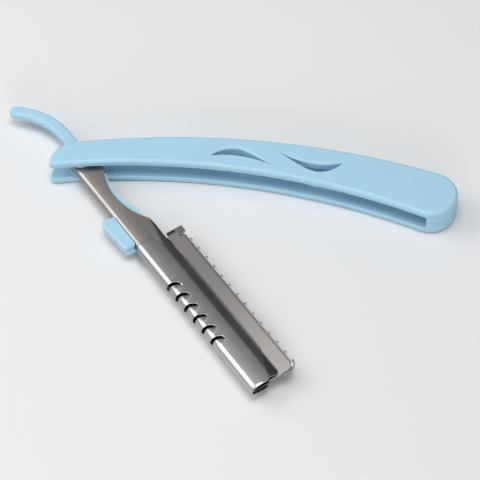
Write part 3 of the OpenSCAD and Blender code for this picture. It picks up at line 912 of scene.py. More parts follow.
@dataclass
class Handle:
    """The two scales, with their slot, leaf cut-outs, bosses and pegs."""

    # Half of the handle's thickness and half of the slot's height
    half_t: float = 5.2
    half_slot: float = 2.7
    # The outline: its two long arcs, how far the back reaches each way, and the near round
    back_r: float = 243.4
    back_crest: Point = (30.0, 7.3)
    front_r: float = 222.0
    front_crest: Point = (15.0, -3.5)
    near_span: float = 32.0
    far_span: float = 85.1
    nose_r: float = 9.2
    heel_r: float = 1.4
    # The wall behind the slot, and how far the slot goes past the start of the far round
    wall_t: float = 2.4
    wall_start: float = 36.0
    slot_more: float = 1.5
    # Faces along the outline's arcs
    long_steps: int = 64
    end_steps: int = 32
    heel_steps: int = 8
    nose_steps: int = 28
    # The rounded outer edge, the bevel at the parting plane and the slot's rounded lips
    edge_r: float = 1.2
    edge_steps: int = 7
    parting_edge: float = 0.3
    lip_edge: float = 0.5
    lip_steps: int = 4
    # The round rim of a leaf cut-out
    rim_depth: float = 0.75
    rim_turn: float = 84.0
    rim_steps: int = 6
    rim_top: float = 0.02
    # A leaf's three curves, end to end: on the outer face, and under the rim of each leaf
    leaf_outer: tuple[Point, ...] = ((-0.1, -0.05), (1.7, 2.65), (4.8, 4.3), (8.18, 4.3), (11.8, 4.3),
                                     (16.1, -0.3), (22.4, -4.95), (16.35, -1.75), (8.25, 1.45))
    leaf_inner: tuple[tuple[Point, ...], ...] = (
        ((0.7, 0.35), (2.3, 2.2), (5.2, 3.3), (8.18, 3.3), (11.4, 3.3), (15.4, -0.9), (21.4, -4.45),
         (16.2, -1.55), (8.3, 1.65)),
        ((0.7, 0.5), (2.0, 2.85), (4.9, 4.1), (8.18, 4.1), (11.7, 4.1), (16.0, -0.45), (21.4, -4.3),
         (15.2, -0.45), (8.6, 2.35)),
    )
    leaf_middle: Point = (63.3, -2.4)
    leaf_corner: Point = (-21.6, 1.2)
    leaf_steps: int = 14
    # The bosses beside the arm and the pin's blind socket
    boss_r: float = 3.7
    boss_h: float = 0.8
    boss_edge: float = 0.25
    boss_sunk: float = 0.3
    pin_r: float = 1.5
    pin_reach: float = 4.2
    # The pegs along the wall and the larger one in the far end
    peg_r: float = 0.6
    end_peg_r: float = 1.5
    end_peg_reach: float = 4.3
    peg_len: float = 1.6
    peg_sunk: float = 0.5
    peg_play: float = 0.05
    peg_shares: tuple[float, ...] = (0.08, 0.5, 0.92)

    def __post_init__(self) -> None:
        """Works out the arcs' centres and angles."""
        self.back_c = Vector((self.back_crest[0], self.back_crest[1] - self.back_r))
        self.front_c = Vector((self.front_crest[0], self.front_crest[1] - self.front_r))
        self.near_angle = -math.degrees(math.asin(self.near_span / self.back_r))
        self.far_angle = math.degrees(math.asin(self.far_span / self.back_r))
        reach = self.wall_start - self.back_crest[0]
        self.wall_angle = math.degrees(math.asin(reach / self.back_r))
        self.slot_angle = math.degrees(math.asin((self.far_span + self.slot_more) / self.back_r))
        far = ray(self.far_angle)
        between = self.back_c - self.front_c
        along = between.dot(far)
        front_on_far = -along + math.sqrt(along ** 2 - between.length_squared + self.front_r ** 2)
        self.end_r = (self.back_r - front_on_far) / 2
        self.end_c = self.back_c + (self.back_r - self.end_r) * far
        self.nose_c = self.back_c + (self.back_r - self.nose_r) * ray(self.near_angle)
        self.heel_c = self.meet(self.nose_c, self.nose_r - self.heel_r, self.front_c,
                                self.front_r + self.heel_r)

    @staticmethod
    def meet(first: Vector, first_r: float, second: Vector, second_r: float) -> Vector:
        """Finds where two circles meet, on the side away from +X.

        Args:
            first: the first circle's centre.
            first_r: its radius.
            second: the second circle's centre.
            second_r: its radius.

        Returns:
            The meeting point.
        """
        gap = second - first
        along = (gap.length_squared + first_r ** 2 - second_r ** 2) / (2 * gap.length)
        aside = math.sqrt(first_r ** 2 - along ** 2)
        unit = gap.normalized()
        return first + along * unit + aside * Vector((unit.y, -unit.x))

    def outline(self, name: str) -> Drawing:
        """Draws a scale's outline: the back, the far round, the front, the heel and the nose.

        Args:
            name: the name of the piece.

        Returns:
            The drawing.
        """
        drawing = Drawing(name, tuple(self.back_c + self.back_r * ray(self.near_angle)))
        drawing.arc(self.back_c, self.far_angle - self.near_angle, self.long_steps)
        drawing.arc(self.end_c, 180, self.end_steps)
        front_from = turn_of(self.end_c - self.end_r * ray(self.far_angle) - self.front_c)
        front_to = turn_of(self.heel_c - self.front_c) - 360
        drawing.arc(self.front_c, front_to - front_from, self.long_steps)
        heel_to = turn_of(self.heel_c - self.nose_c)
        drawing.arc(self.heel_c, heel_to - turn_of(self.front_c - self.heel_c), self.heel_steps)
        drawing.arc(self.nose_c, self.near_angle + 360 - heel_to, self.nose_steps)
        return drawing

    def slot_tool(self) -> Solid:
        """Makes the scale's share of the slot, open all round the pivot.

        Returns:
            The cutter.
        """
        inner = self.back_r - self.wall_t
        far = ray(self.slot_angle)
        drawing = Drawing("slot", tuple(self.back_c + inner * far), at=-PAST)
        drawing.arc(self.back_c, self.wall_angle - self.slot_angle, self.long_steps)
        beyond = self.back_r + 2 * self.nose_r
        below = self.front_r - 4 * self.nose_r
        drawing.line(tuple(self.back_c + beyond * ray(self.wall_angle)),
                     tuple(self.back_c + beyond * ray(2 * self.near_angle)),
                     tuple(self.back_c + below * ray(2 * self.near_angle)),
                     tuple(self.back_c + below * far))
        return drawing.depth(self.half_slot + PAST)

    def leaf_shape(self, share: float, turned: bool) -> list[Point]:
        """Lists the points of a leaf between its inner and its outer outline.

        Args:
            share: 0 for the inner outline, 1 for the outer one.
            turned: whether it is the second leaf, which is the first turned half round.

        Returns:
            The points in the plan.
        """
        corners = [Vector(inner).lerp(Vector(outer), share)
                   for inner, outer in zip(self.leaf_inner[turned], self.leaf_outer)]
        sign = -1 if turned else 1
        points = []
        for first in (0, 3, 6):
            ends = [corners[(first + index) % len(corners)] for index in range(4)]
            for step in range(self.leaf_steps):
                spot = Vector(self.leaf_corner) + cubic(ends, step / self.leaf_steps)
                points.append(tuple(Vector(self.leaf_middle) + sign * spot))
        return points

    @staticmethod
    def flare(tool: Solid, before: list[Point], after: list[Point], lift: float) -> None:
        """Extrudes a cutter's selected top and leads it from one outline to the next.

        Args:
            tool: the cutter, in edit mode, with its top face selected.
            before: the top's outline so far.
            after: its new outline.
            lift: how far it goes up.
        """
        bpy.ops.mesh.extrude_region_move(TRANSFORM_OT_translate={"value": (0, 0, lift)})
        mesh = bmesh.from_edit_mesh(tool.obj.data)
        for corner in next(face for face in mesh.faces if face.select).verts:
            gaps = [(corner.co.xy - Vector(spot)).length for spot in before]
            corner.co.xy = after[gaps.index(min(gaps))]
        bmesh.update_edit_mesh(tool.obj.data)

    def leaf_tool(self, turned: bool) -> Solid:
        """Makes one leaf, right through a scale, with a flared top that leaves a round rim.

        Args:
            turned: whether it is the second leaf.

        Returns:
            The cutter.
        """
        outline = self.leaf_shape(0.0, turned)
        drawing = Drawing("leaf", outline[0], at=-PAST)
        drawing.line(*outline[1:])
        tool = drawing.depth(self.half_t - self.rim_depth + PAST)
        with tool.picking("FACE", lambda face: face.normal.z > TOP_SHARE):
            high = 0.0
            for step in range(1, self.rim_steps + 1):
                angle = math.radians(self.rim_turn * step / self.rim_steps)
                wider = self.leaf_shape(1 - math.cos(angle), turned)
                higher = self.rim_depth * math.sin(angle)
                self.flare(tool, outline, wider, higher - high)
                outline, high = wider, higher
            full = self.leaf_shape(1.0, turned)
            self.flare(tool, outline, full, self.rim_top)
            self.flare(tool, full, full, PAST)
        return tool

    def peg_places(self) -> list[tuple[Vector, float]]:
        """Lists each peg's place and radius.

        Returns:
            The pegs along the wall, then the one in the far end.
        """
        middle = self.back_r - self.wall_t / 2
        turn = self.far_angle - self.wall_angle
        wall = [(self.back_c + middle * ray(self.wall_angle + share * turn), self.peg_r)
                for share in self.peg_shares]
        return wall + [(self.end_c + self.end_peg_reach * ray(self.far_angle + 90), self.end_peg_r)]

    def half(self, name: str) -> Solid:
        """Models one scale, from the parting plane at Z = 0 up to its rounded outer edge.

        Args:
            name: the name of the piece.

        Returns:
            The scale.
        """
        body = self.outline(name).depth(self.half_t)
        body.bevel(self.edge_r, self.edge_steps, lambda edge: level(edge, self.half_t))
        body.bevel(self.parting_edge, 1, lambda edge: level(edge, 0.0))
        body.cut(self.slot_tool())
        body.bevel(self.lip_edge, self.lip_steps,
                   lambda edge: level(edge, self.half_slot) and sharp_out(edge))
        for turned in (False, True):
            body.cut(self.leaf_tool(turned))
        low = self.half_slot - self.boss_h
        boss = round_bar((0, 0), low, self.half_slot + self.boss_sunk, self.boss_r)
        boss.bevel(self.boss_edge, 2, lambda edge: level(edge, low))
        body.weld(boss)
        return body.cut(round_bar((0, 0), -PAST, self.pin_reach, self.pin_r))

    def build(self, effects: Effects) -> None:
        """Builds both scales and dresses the pin between them.

        Args:
            effects: the shared shader groups.
        """
        upper = self.half("handle_upper_scale")
        for spot, radius in self.peg_places():
            upper.cut(round_bar(tuple(spot), -PAST, self.peg_len + self.peg_play,
                                radius + self.peg_play, PEG_SIDES))
        lower = self.half("handle_lower_scale").flip()
        for spot, radius in self.peg_places():
            lower.weld(round_bar(tuple(spot), -self.peg_sunk, self.peg_len, radius, PEG_SIDES))
        for solid, node in ((upper, "upper_scale"), (lower, "lower_scale")):
            piece = solid.finish(0.0, self.half_t)
            dress(piece, HANDLE_PLASTIC, effects)
            hand_over(piece, node, "handle")
        dress(bpy.data.objects["pivot_pin"], PIN_STEEL, effects)


@dataclass
class Arm:
    """The folded steel arm on its plastic core, in the arm's own frame: x along it, y to the edge."""

    # The folded sheet: half of its height, its thickness, its spine and its round ear
    half_t: float = 1.8
    sheet_t: float = 0.5
    spine_y: float = 3.9
    ear_r: float = 3.9
    neck_x: float = 7.2
    # The finger notch, the shoulder after it and the jaws
    notch_c: Point = (18.9, 24.1)
    notch_r: float = 23.0
    notch_end: float = 32.5
    shoulder: tuple[Point, ...] = ((35.0, 5.9), (41.0, 5.9), (44.0, 6.6))
    jaw_end: float = 103.2
    jaw_y: float = 6.6
    jaw_corner: float = 1.0
    # The slope from the flat sides down to the lips, and the rounded crease where it begins
    lip_half: float = 0.855
    slope_y: float = 3.3
    slope_run: float = 2.9
    facet_end: float = 46.0
    crease: float = 0.45
    # How far the flat sides fall away towards the spine
    crown: float = 0.16
    crown_y: float = 1.6
    crown_steps: int = 6
    crease_lines: tuple[float, ...] = (-1.0, -0.5, 0.0, 0.5, 1.0)
    # How far the cutters reach past the sheet, the faces along its arcs and its soft edges
    past_sheet: float = 5.0
    cutter_half: float = 3.0
    ear_steps: int = 24
    spine_steps: int = 20
    notch_steps: int = 28
    sheet_edge: float = 0.09
    edge_angle: float = 40.0
    smooth: float = 16.0
    # The core inside the fold
    core_half: float = 1.15
    core_low: float = -2.3
    core_edge: float = 0.12
    core_steps: int = 20
    # The thumb rest and its round teeth
    rest_c: Point = (16.9, 25.65)
    rest_r: float = 23.65
    rest_from: float = 8.6
    rest_to: float = 27.8
    rest_tip: Point = (31.2, 4.75)
    tooth_count: int = 14
    tooth_r: float = 0.72
    tooth_steps: int = 6
    # Where the core steps up to make room for the slide, and its neck to the tail
    core_step: float = 19.0
    core_step_y: float = 0.15
    neck_reach: float = 8.0
    neck_half: float = 1.2
    play: float = 0.05
    # The tail: half of its height, its width, its straight part and its bend
    tail_half: float = 1.6
    tail_w: float = 4.2
    tail_y: float = 1.45
    tail_straight: float = 13.0
    tail_r: float = 22.5
    tail_bend: float = 50.0
    tail_steps: int = 28
    tail_end_steps: int = 20
    tail_edge: float = 1.1
    tail_edge_steps: int = 6
    # The pin's hole, the slide's slot, and the gap behind the sleeve's pressed tongues
    pin_r: float = 1.6
    stem_slot: tuple[float, float, float] = (26.25, 38.35, 0.85)
    louvre_gap: tuple[float, float, float] = (57.6, 86.8, -0.5)

    def __post_init__(self) -> None:
        """Works out the finger notch's ends and the facet's slant."""
        self.neck_y = self.under_arc(self.neck_x)
        self.notch_end_y = self.under_arc(self.notch_end)
        self.fold_y = self.spine_y - self.half_t
        run = self.facet_end - self.notch_end
        self.facet_slant = (self.notch_end_y - self.slope_y) / run

    def under_arc(self, x: float) -> float:
        """Height of the finger notch's arc at a place along the arm."""
        return self.notch_c[1] - math.sqrt(self.notch_r ** 2 - (x - self.notch_c[0]) ** 2)

    def fold_at(self, x: float) -> float:
        """Where the sheet's slope down to the lips begins."""
        return self.slope_y + max(self.facet_end - x, 0.0) * self.facet_slant

    def drop(self, place: Vector) -> float:
        """How far the slope, and the crown next to the spine, lower the sheet at a place.

        Args:
            place: a place on the sheet.

        Returns:
            The distance towards the middle of the sheet.
        """
        beyond = place.y - self.fold_at(place.x)
        if abs(beyond) < self.crease:
            beyond = (beyond + self.crease) ** 2 / (4 * self.crease)
        share = min(max(beyond / self.slope_run, 0.0), 1.0)
        aside = min((max(self.crown_y - place.y, 0.0) / (self.crown_y + self.fold_y)), 1.0)
        round_share = 1.0
        if place.y < -self.fold_y:
            round_share = abs(place.z) / math.hypot(place.y + self.fold_y, place.z)
        return share * (self.half_t - self.lip_half) + self.crown * aside ** 2 * round_share

    def sheet(self) -> Solid:
        """Folds the sheet: a round spine, two flat sides and the slopes down to the lips.

        Returns:
            The sheet.
        """
        inner = self.half_t - self.sheet_t
        far = 2 * self.jaw_y
        drawing = Drawing("arm_folded_sheet", (far, self.half_t), Plane.END, at=-self.past_sheet)
        drawing.line((-self.fold_y, self.half_t))
        drawing.arc((-self.fold_y, 0.0), -180, self.spine_steps)
        drawing.line((far, -self.half_t), (far, -inner), (-self.fold_y, -inner))
        drawing.arc((-self.fold_y, 0.0), 180, self.spine_steps)
        drawing.line((far, inner))
        sheet = drawing.depth(self.jaw_end + self.past_sheet)
        sheet.score((self.facet_end, 0, 0), (1, 0, 0), lambda face: True)
        for index in range(1, self.crown_steps + 1):
            reach = (self.crown_y + self.fold_y) * index / self.crown_steps
            sheet.score((0, reach - self.fold_y, 0), (0, 1, 0), lambda face: True)
        for beyond in (*self.crease_lines, self.slope_run / self.crease):
            start = self.slope_y + beyond * self.crease
            sheet.score((self.facet_end, start, 0), (self.facet_slant, 1, 0),
                        lambda face: face.calc_center_median().x < self.facet_end)
            sheet.score((self.facet_end, start, 0), (0, 1, 0),
                        lambda face: face.calc_center_median().x > self.facet_end)
        return sheet.bend_sheet(self.drop)

    def outline(self) -> Solid:
        """Draws the arm from above: a round ear, the notch, the shoulder and the jaws.

        Returns:
            The upright solid that the sheet is trimmed to.
        """
        drawing = Drawing("outline", (0.0, -self.ear_r), at=-self.cutter_half)
        drawing.arc((0.0, 0.0), 180, self.ear_steps)
        drawing.line((self.neck_x, self.neck_y))
        turn = math.degrees(math.asin((self.notch_end - self.notch_c[0]) / self.notch_r)
                            - math.asin((self.neck_x - self.notch_c[0]) / self.notch_r))
        drawing.arc(self.notch_c, -turn, self.notch_steps)
        drawing.line(*self.shoulder, (self.jaw_end - self.jaw_corner, self.jaw_y),
                     (self.jaw_end, self.jaw_y - self.jaw_corner), (self.jaw_end, -self.past_sheet),
                     (0.0, -self.past_sheet))
        return drawing.depth(2 * self.cutter_half)

    def folded(self) -> Solid:
        """Models the folded arm with its pin hole and the slide's slot in the spine.

        Returns:
            The arm.
        """
        arm = self.sheet().trim(self.outline())
        arm.cut(self.pivot_bar(self.pin_r))
        start, end, half = self.stem_slot
        slot = Drawing("stem_slot", (start, -half), Plane.FRONT, at=-self.past_sheet)
        slot.line((end, -half), (end, half), (start, half))
        arm.cut(slot.depth(self.past_sheet - self.fold_y))
        start, end, side = self.louvre_gap
        gap = Drawing("louvre_gap", (start, -self.past_sheet), at=-self.cutter_half)
        gap.line((start, side), (end, side), (end, -self.past_sheet))
        arm.cut(gap.depth(2 * self.cutter_half))
        return arm.soften(self.sheet_edge, 2, self.edge_angle)

    def pivot_bar(self, radius: float) -> Solid:
        """Makes a cutter round the pivot, right through the arm."""
        return round_bar((0, 0), -self.cutter_half, self.cutter_half, radius)

    def tail(self) -> Solid:
        """Models the curved tail behind the pivot, with its edges well rounded.

        Returns:
            The tail.
        """
        half_w = self.tail_w / 2
        bend_c = Vector((-self.tail_straight, self.tail_y - self.tail_r))
        drawing = Drawing("arm_core_with_tail", (0.0, self.tail_y + half_w), at=-self.tail_half)
        drawing.line((-self.tail_straight, self.tail_y + half_w))
        drawing.arc(bend_c, -self.tail_bend, self.tail_steps)
        drawing.arc(bend_c + self.tail_r * ray(-self.tail_bend), -180, self.tail_end_steps)
        drawing.arc(bend_c, self.tail_bend, self.tail_steps)
        drawing.line((0.0, self.tail_y - half_w))
        tail = drawing.depth(2 * self.tail_half)
        tail.bevel(self.tail_edge, self.tail_edge_steps,
                   lambda edge: level(edge, self.tail_half) or level(edge, -self.tail_half))
        return tail.cut(self.pivot_bar(self.ear_r + self.play))

    def core(self) -> Solid:
        """Models the core inside the fold, with the thumb rest's fine round teeth along its front.

        Returns:
            The core, joined to its tail.
        """
        ear_x = -math.sqrt(self.ear_r ** 2 - self.core_low ** 2)
        ear_turn = 90 + math.degrees(math.asin(-self.core_low / self.ear_r))
        centre = Vector(self.rest_c)
        first = math.asin((self.rest_from - self.rest_c[0]) / self.rest_r)
        step = (math.asin((self.rest_to - self.rest_c[0]) / self.rest_r) - first) / self.tooth_count
        half_tooth = self.rest_r * math.sin(step / 2)
        sunk = math.sqrt(self.tooth_r ** 2 - half_tooth ** 2)
        start = centre + self.rest_r * Vector((math.sin(first), -math.cos(first)))
        drawing = Drawing("core", (ear_x, self.core_low), at=-self.core_half)
        drawing.arc((0.0, 0.0), ear_turn, self.core_steps)
        drawing.line((self.neck_x, self.neck_y), tuple(start))
        for index in range(self.tooth_count):
            angle = first + (index + 0.5) * step
            reach = self.rest_r * math.cos(step / 2) + sunk
            middle = centre + reach * Vector((math.sin(angle), -math.cos(angle)))
            drawing.arc(middle, 2 * math.degrees(math.asin(half_tooth / self.tooth_r)), self.tooth_steps)
        end_x = self.notch_end - self.play
        drawing.line(self.rest_tip, (end_x, self.rest_tip[1]), (end_x, self.core_step_y),
                     (self.core_step, self.core_step_y), (self.core_step, self.core_low))
        core = drawing.depth(2 * self.core_half)
        core.bevel(self.core_edge, 2,
                   lambda edge: (level(edge, self.core_half) or level(edge, -self.core_half))
                   and min(vertex.co.x for vertex in edge.verts) > self.neck_x)
        low, high = self.tail_y - self.neck_half, self.tail_y + self.neck_half
        neck = Drawing("neck", (-self.neck_reach, low), at=-self.core_half)
        neck.line((-self.neck_reach, high), (0.0, high), (0.0, low))
        core.weld(neck.depth(2 * self.core_half))
        return self.tail().weld(core).cut(self.pivot_bar(self.pin_r - self.play))

    def build(self, effects: Effects) -> None:
        """Builds the arm and its core.

        Args:
            effects: the shared shader groups.
        """
        arm = self.folded().finish(REST_ANGLE, PARTING, self.smooth)
        dress(arm, ARM_STEEL, effects)
        hand_over(arm, "folded_arm", "arm")
        core = self.core().finish(REST_ANGLE, PARTING)
        dress(core, CORE_PLASTIC, effects)
        hand_over(core, "arm_core", "arm")


@dataclass
class LockSlide:
    """The thumb tab with its stem and its wedge inside the fold."""

    # The tab: half of its height, its ends, its sides and its outer corners
    half_t: float = 1.6
    start: float = 24.8
    end: float = 38.8
    inner: float = 4.2
    side_y: float = 3.6
    # The hollow round the spine
    hollow_y: float = 2.1
    hollow_r: float = 2.1
    reach: float = 8.4
    taper: float = 1.1
    corner: float = 1.2
    full_x: float = 27.2
    # The low ledge beyond the tab
    ledge_end: float = 39.4
    ledge_t: float = 1.1
    ledge_back: float = 2.0
    ledge_in: float = 0.3
    ledge_lift: float = 0.02
    ledge_edge: float = 0.25
    ledge_angle: float = 40.0
    # The tab's rounded corners and edges, and the spare material on its inner side
    corner_round: float = 0.75
    corner_steps: int = 5
    edge_round: float = 0.72
    edge_steps: int = 6
    edge_angle: float = 50.0
    hollow_steps: int = 24
    spare: float = 1.4
    # The stem through the spine's slot, and the shoe and wedge inside the fold
    stem: tuple[float, float, float] = (33.4, 38.2, 0.7)
    stem_top: float = -1.95
    shoe: tuple[float, float, float] = (33.25, 39.1, 1.15)
    shoe_low: float = -2.1
    shoe_h: float = 1.9
    wedge_end: float = 44.1

    def outer_y(self, x: float) -> float:
        """Place of the tab's outer edge, which tapers towards its far end."""
        return -self.reach + self.taper * (x - self.full_x) / (self.ledge_end - self.full_x)

    def tab(self) -> Solid:
        """Models the thumb tab with well rounded edges, and with spare material on its inner side.

        Returns:
            The tab.
        """
        near = self.start + self.corner / 2
        inner = self.spare - self.side_y
        drawing = Drawing("lock_slide_tab", (near + self.spare / 4, inner), at=-self.half_t)
        drawing.line((self.end, inner), (self.end, self.outer_y(self.end)), (self.full_x, -self.reach),
                     (near, -self.reach + self.corner / 2), (self.start, -self.reach + 2 * self.corner))
        tab = drawing.depth(2 * self.half_t)
        tab.bevel(self.corner_round, self.corner_steps, self.outer_corner)
        return tab.soften(self.edge_round, self.edge_steps, self.edge_angle)

    def outer_corner(self, edge: bmesh.types.BMEdge) -> bool:
        """Says whether an edge is one of the tab's upright outer corners."""
        first, second = (vertex.co for vertex in edge.verts)
        return abs(first.z - second.z) > self.half_t and first.y < -self.side_y

    def hollow(self) -> Solid:
        """Makes the cutter of the tab's inner side, which is hollow round the spine.

        Returns:
            The cutter.
        """
        reach = self.side_y - self.hollow_y
        high = math.sqrt(self.hollow_r ** 2 - reach ** 2)
        drawing = Drawing("hollow", (0.0, 2 * self.half_t), Plane.END, at=self.start - PAST)
        drawing.line((-self.side_y, 2 * self.half_t), (-self.side_y, high))
        drawing.arc((-self.hollow_y, 0.0), -2 * math.degrees(math.atan2(high, reach)), self.hollow_steps)
        drawing.line((-self.side_y, -2 * self.half_t), (0.0, -2 * self.half_t))
        return drawing.depth(self.ledge_end - self.start + 2 * PAST)

    def ledge(self) -> Solid:
        """Models the low ledge beyond the tab's far end, a little above the tab's underside.

        Returns:
            The ledge.
        """
        near, inner = self.end - self.ledge_back, self.spare / 2 - self.side_y
        drawing = Drawing("ledge", (near, inner), at=self.ledge_lift - self.half_t)
        drawing.line((self.ledge_end, inner),
                     (self.ledge_end, self.outer_y(self.ledge_end) + self.ledge_in),
                     (near, self.outer_y(self.end) + self.ledge_in))
        return drawing.depth(self.ledge_t).soften(self.ledge_edge, 3, self.ledge_angle)

    def build(self, effects: Effects) -> None:
        """Builds the slide.

        Args:
            effects: the shared shader groups.
        """
        slide = self.tab().weld(self.ledge()).cut(self.hollow())
        start, end, half = self.stem
        stem = Drawing("stem", (start, -half), Plane.FRONT, at=-self.inner - PAST)
        stem.line((end, -half), (end, half), (start, half))
        slide.weld(stem.depth(self.inner + PAST + self.stem_top))
        start, end, half = self.shoe
        shoe = Drawing("shoe", (start, -half), Plane.FRONT, at=self.shoe_low)
        shoe.line((end, -half), (self.wedge_end, -self.stem[2]), (self.wedge_end, self.stem[2]),
                  (end, half), (start, half))
        slide.weld(shoe.depth(self.shoe_h))
        piece = slide.finish(REST_ANGLE, PARTING)
        dress(piece, SLIDE_PLASTIC, effects)
        hand_over(piece, "lock_slide", "lock")


@dataclass
class ClampSleeve:
    """The sleeve round the jaws: a sheet with a rolled spine, pressed slits and slanting ends."""

    # The section: half of its height, the thickness, the spine's middle, the lips and flaps
    half_t: float = 2.25
    sheet_t: float = 0.4
    fold_y: float = 2.1
    lip_half: float = 1.305
    slope_y: float = 3.3
    slope_end: float = 6.2
    flap_y: float = 6.8
    # The two ends and how they lean
    start: float = 39.7
    end: float = 104.1
    root_y: float = 1.9
    slant: float = 11.5
    lean_from: float = 1.0
    lean_soft: float = 0.35
    lead_gap: float = 1.0
    # The slits and their bow, which fades towards the sleeve's ends
    slit_start: float = 58.7
    slit_pitch: float = 4.86
    slit_count: int = 6
    slit_y: float = -0.5
    bow: float = 0.95
    bow_from: float = -0.95
    bow_run: float = 3.4
    bow_fade: float = 12.0
    # The gap at a slit, and its upper end, which curls over
    slit_gap: float = 0.45
    hook_gap_share: float = 0.5
    curl_depth: float = 0.5
    curl_before: float = 0.5
    curl_middle: float = 0.4
    curl_up: float = 1.7
    curl_down: float = 1.75
    hook: float = 1.4
    # The tongue pressed in ahead of a slit, and the lifted lip behind it
    press: float = 0.65
    press_run: float = 3.5
    press_lean: float = 2.2
    press_soft: float = 0.5
    press_power: float = 1.5
    lip_rise: float = 0.08
    # The rolled near end, the crease beside the spine, the crown and the soft edges
    roll: float = 0.25
    roll_run: float = 0.5
    roll_steps: int = 5
    crease_y: float = -2.62
    crease_half: float = 0.1
    crease_depth: float = 0.12
    crown: float = 0.13
    edge_round: float = 0.06
    edge_angle: float = 65.0
    smooth: float = 32.0
    # The sheet's columns and rows
    plain_columns: int = 13
    hook_columns: tuple[float, ...] = (0.75, 1.05)
    press_columns: tuple[float, ...] = (1.9, 2.4, 2.9)
    spine_turn: float = 3.0
    spine_rows: int = 9
    flat_rows: tuple[float, ...] = (6.8, 6.5, 6.2, 5.7, 5.2, 4.7, 4.2, 3.75, 3.3, 2.6, 1.9, 1.2, 0.5, 0.0,
                                    -0.25, -0.5, -0.75, -1.0, -1.25, -1.5, -1.75, -2.0, -2.25)

    def section(self) -> list[Row]:
        """Lists the sheet's rows from one flap's edge round the spine to the other's.

        Returns:
            For each row its y and z, and the outward direction there.
        """
        rows: list[Row] = []
        drop = self.half_t - self.lip_half
        for y in self.flat_rows:
            share = min(max((y - self.slope_y) / (self.slope_end - self.slope_y), 0.0), 1.0)
            rows.append((y, self.half_t + self.crowned(y) - drop * share, 0.0, 1.0))
        rows.append((self.crease_y + self.crease_half, self.half_t, 0.0, 1.0))
        angle = math.degrees(math.asin((-self.crease_y - self.fold_y) / self.half_t))
        crease_z = self.half_t * math.cos(math.radians(angle)) - self.crease_depth
        rows.append((self.crease_y, crease_z, 0.0, 1.0))
        first = angle + self.spine_turn
        for index in range(self.spine_rows + 1):
            turn = math.radians(first + (90 - first) * index / self.spine_rows)
            rows.append((-self.fold_y - self.half_t * math.sin(turn), self.half_t * math.cos(turn),
                         -math.sin(turn), math.cos(turn)))
        under = [(y, -z, out_y, -out_z) for y, z, out_y, out_z in reversed(rows[:-1])]
        return rows + under

    def crowned(self, y: float) -> float:
        """How far the sheet's flat side bulges at a row.

        Args:
            y: the row's place.

        Returns:
            The height of the bulge.
        """
        low, high = self.crease_y + self.crease_half, self.slope_y
        aside = (2 * y - low - high) / (high - low)
        return self.crown * max(1 - aside ** 2, 0.0)

    def columns(self) -> list[float]:
        """Lists the sheet's columns along the arm, closer together at its near end and at each slit.

        Returns:
            Each column's place.
        """
        slits = self.slits()
        rolled = [self.start + self.roll_run * index / self.roll_steps for index in range(self.roll_steps)]
        plain_from = self.start + self.roll_run
        plain_run = slits[0] - self.curl_before - plain_from
        lead = [plain_from + plain_run * index / self.plain_columns for index in range(self.plain_columns)]
        steps = (-self.curl_before, 0.0, *self.hook_columns, self.hook, *self.press_columns, self.press_run)
        middle = [slit + step for slit in slits for step in steps]
        last = slits[-1] + self.press_run
        tip = [last + (self.end - last) * index / self.plain_columns
               for index in range(1, self.plain_columns + 1)]
        return rolled + lead + middle + tip

    def slits(self) -> list[float]:
        """Lists the slits' places along the arm."""
        return [self.slit_start + index * self.slit_pitch for index in range(self.slit_count)]

    def hook_rows(self, rows: list[Row]) -> tuple[int, int]:
        """Finds the two rows that the slits' ends lie on, one on each side."""
        ends = [index for index, row in enumerate(rows) if abs(row[0] - self.slit_y) < ROW_GAP]
        return ends[0], ends[-1]

    def spot(self, x: float, row: Row) -> Vector:
        """Finds the place of a column on a row: leaning, rolled in at the near end, curled at a slit.

        Args:
            x: the column.
            row: the row's y and z, and the outward direction there.

        Returns:
            The place.
        """
        y, z, out_y, out_z = row
        rolled = self.roll * max(1 - (x - self.start) / self.roll_run, 0.0) ** 2
        return Vector((x + self.shift(x, y), y - self.curl(x, y) - rolled * out_y, z - rolled * out_z))

    def curl(self, x: float, y: float) -> float:
        """How far the upper end of a slit curls over towards the spine at a place.

        Args:
            x: the column's place.
            y: the row's place.

        Returns:
            The distance.
        """
        nearest = round((x - self.slit_start - self.curl_middle) / self.slit_pitch)
        ahead = x - self.slit_start - min(max(nearest, 0), self.slit_count - 1) * self.slit_pitch
        along = 1 + ahead / self.curl_before
        if ahead >= 0:
            along = (1 - ahead / self.hook) ** 2 * (ahead < self.hook)
        aside = (self.slit_y - y) / self.curl_down
        if y > self.slit_y:
            aside = (y - self.slit_y) / self.curl_up
        return self.curl_depth * max(along, 0.0) * max(1 - aside, 0.0)

    def shift(self, x: float, y: float) -> float:
        """How far a column leans at a row: the slanting ends and the bow of the slits.

        Args:
            x: the column's place.
            y: the row's place.

        Returns:
            The distance along the arm.
        """
        soft = smooth_step((y - self.lean_from) / (self.flap_y - self.lean_from))
        straight = max((y - self.root_y) / (self.flap_y - self.root_y), 0.0)
        share = soft * self.lean_soft + (1 - self.lean_soft) * straight
        near = max(1 - (x - self.start) / (self.slit_start - self.lead_gap - self.start), 0.0)
        last = self.slits()[-1] + self.press_run
        far = max((x - last) / (self.end - last), 0.0)
        rise = min(max((self.bow_from - y) / self.bow_run, 0.0), 1.0)
        bow = self.bow * (1 - (1 - rise) ** 2)
        fade = smooth_step(min((x - self.start) / self.bow_fade, (self.end - x) / self.bow_fade))
        return self.slant * share * (near - far) - bow * fade

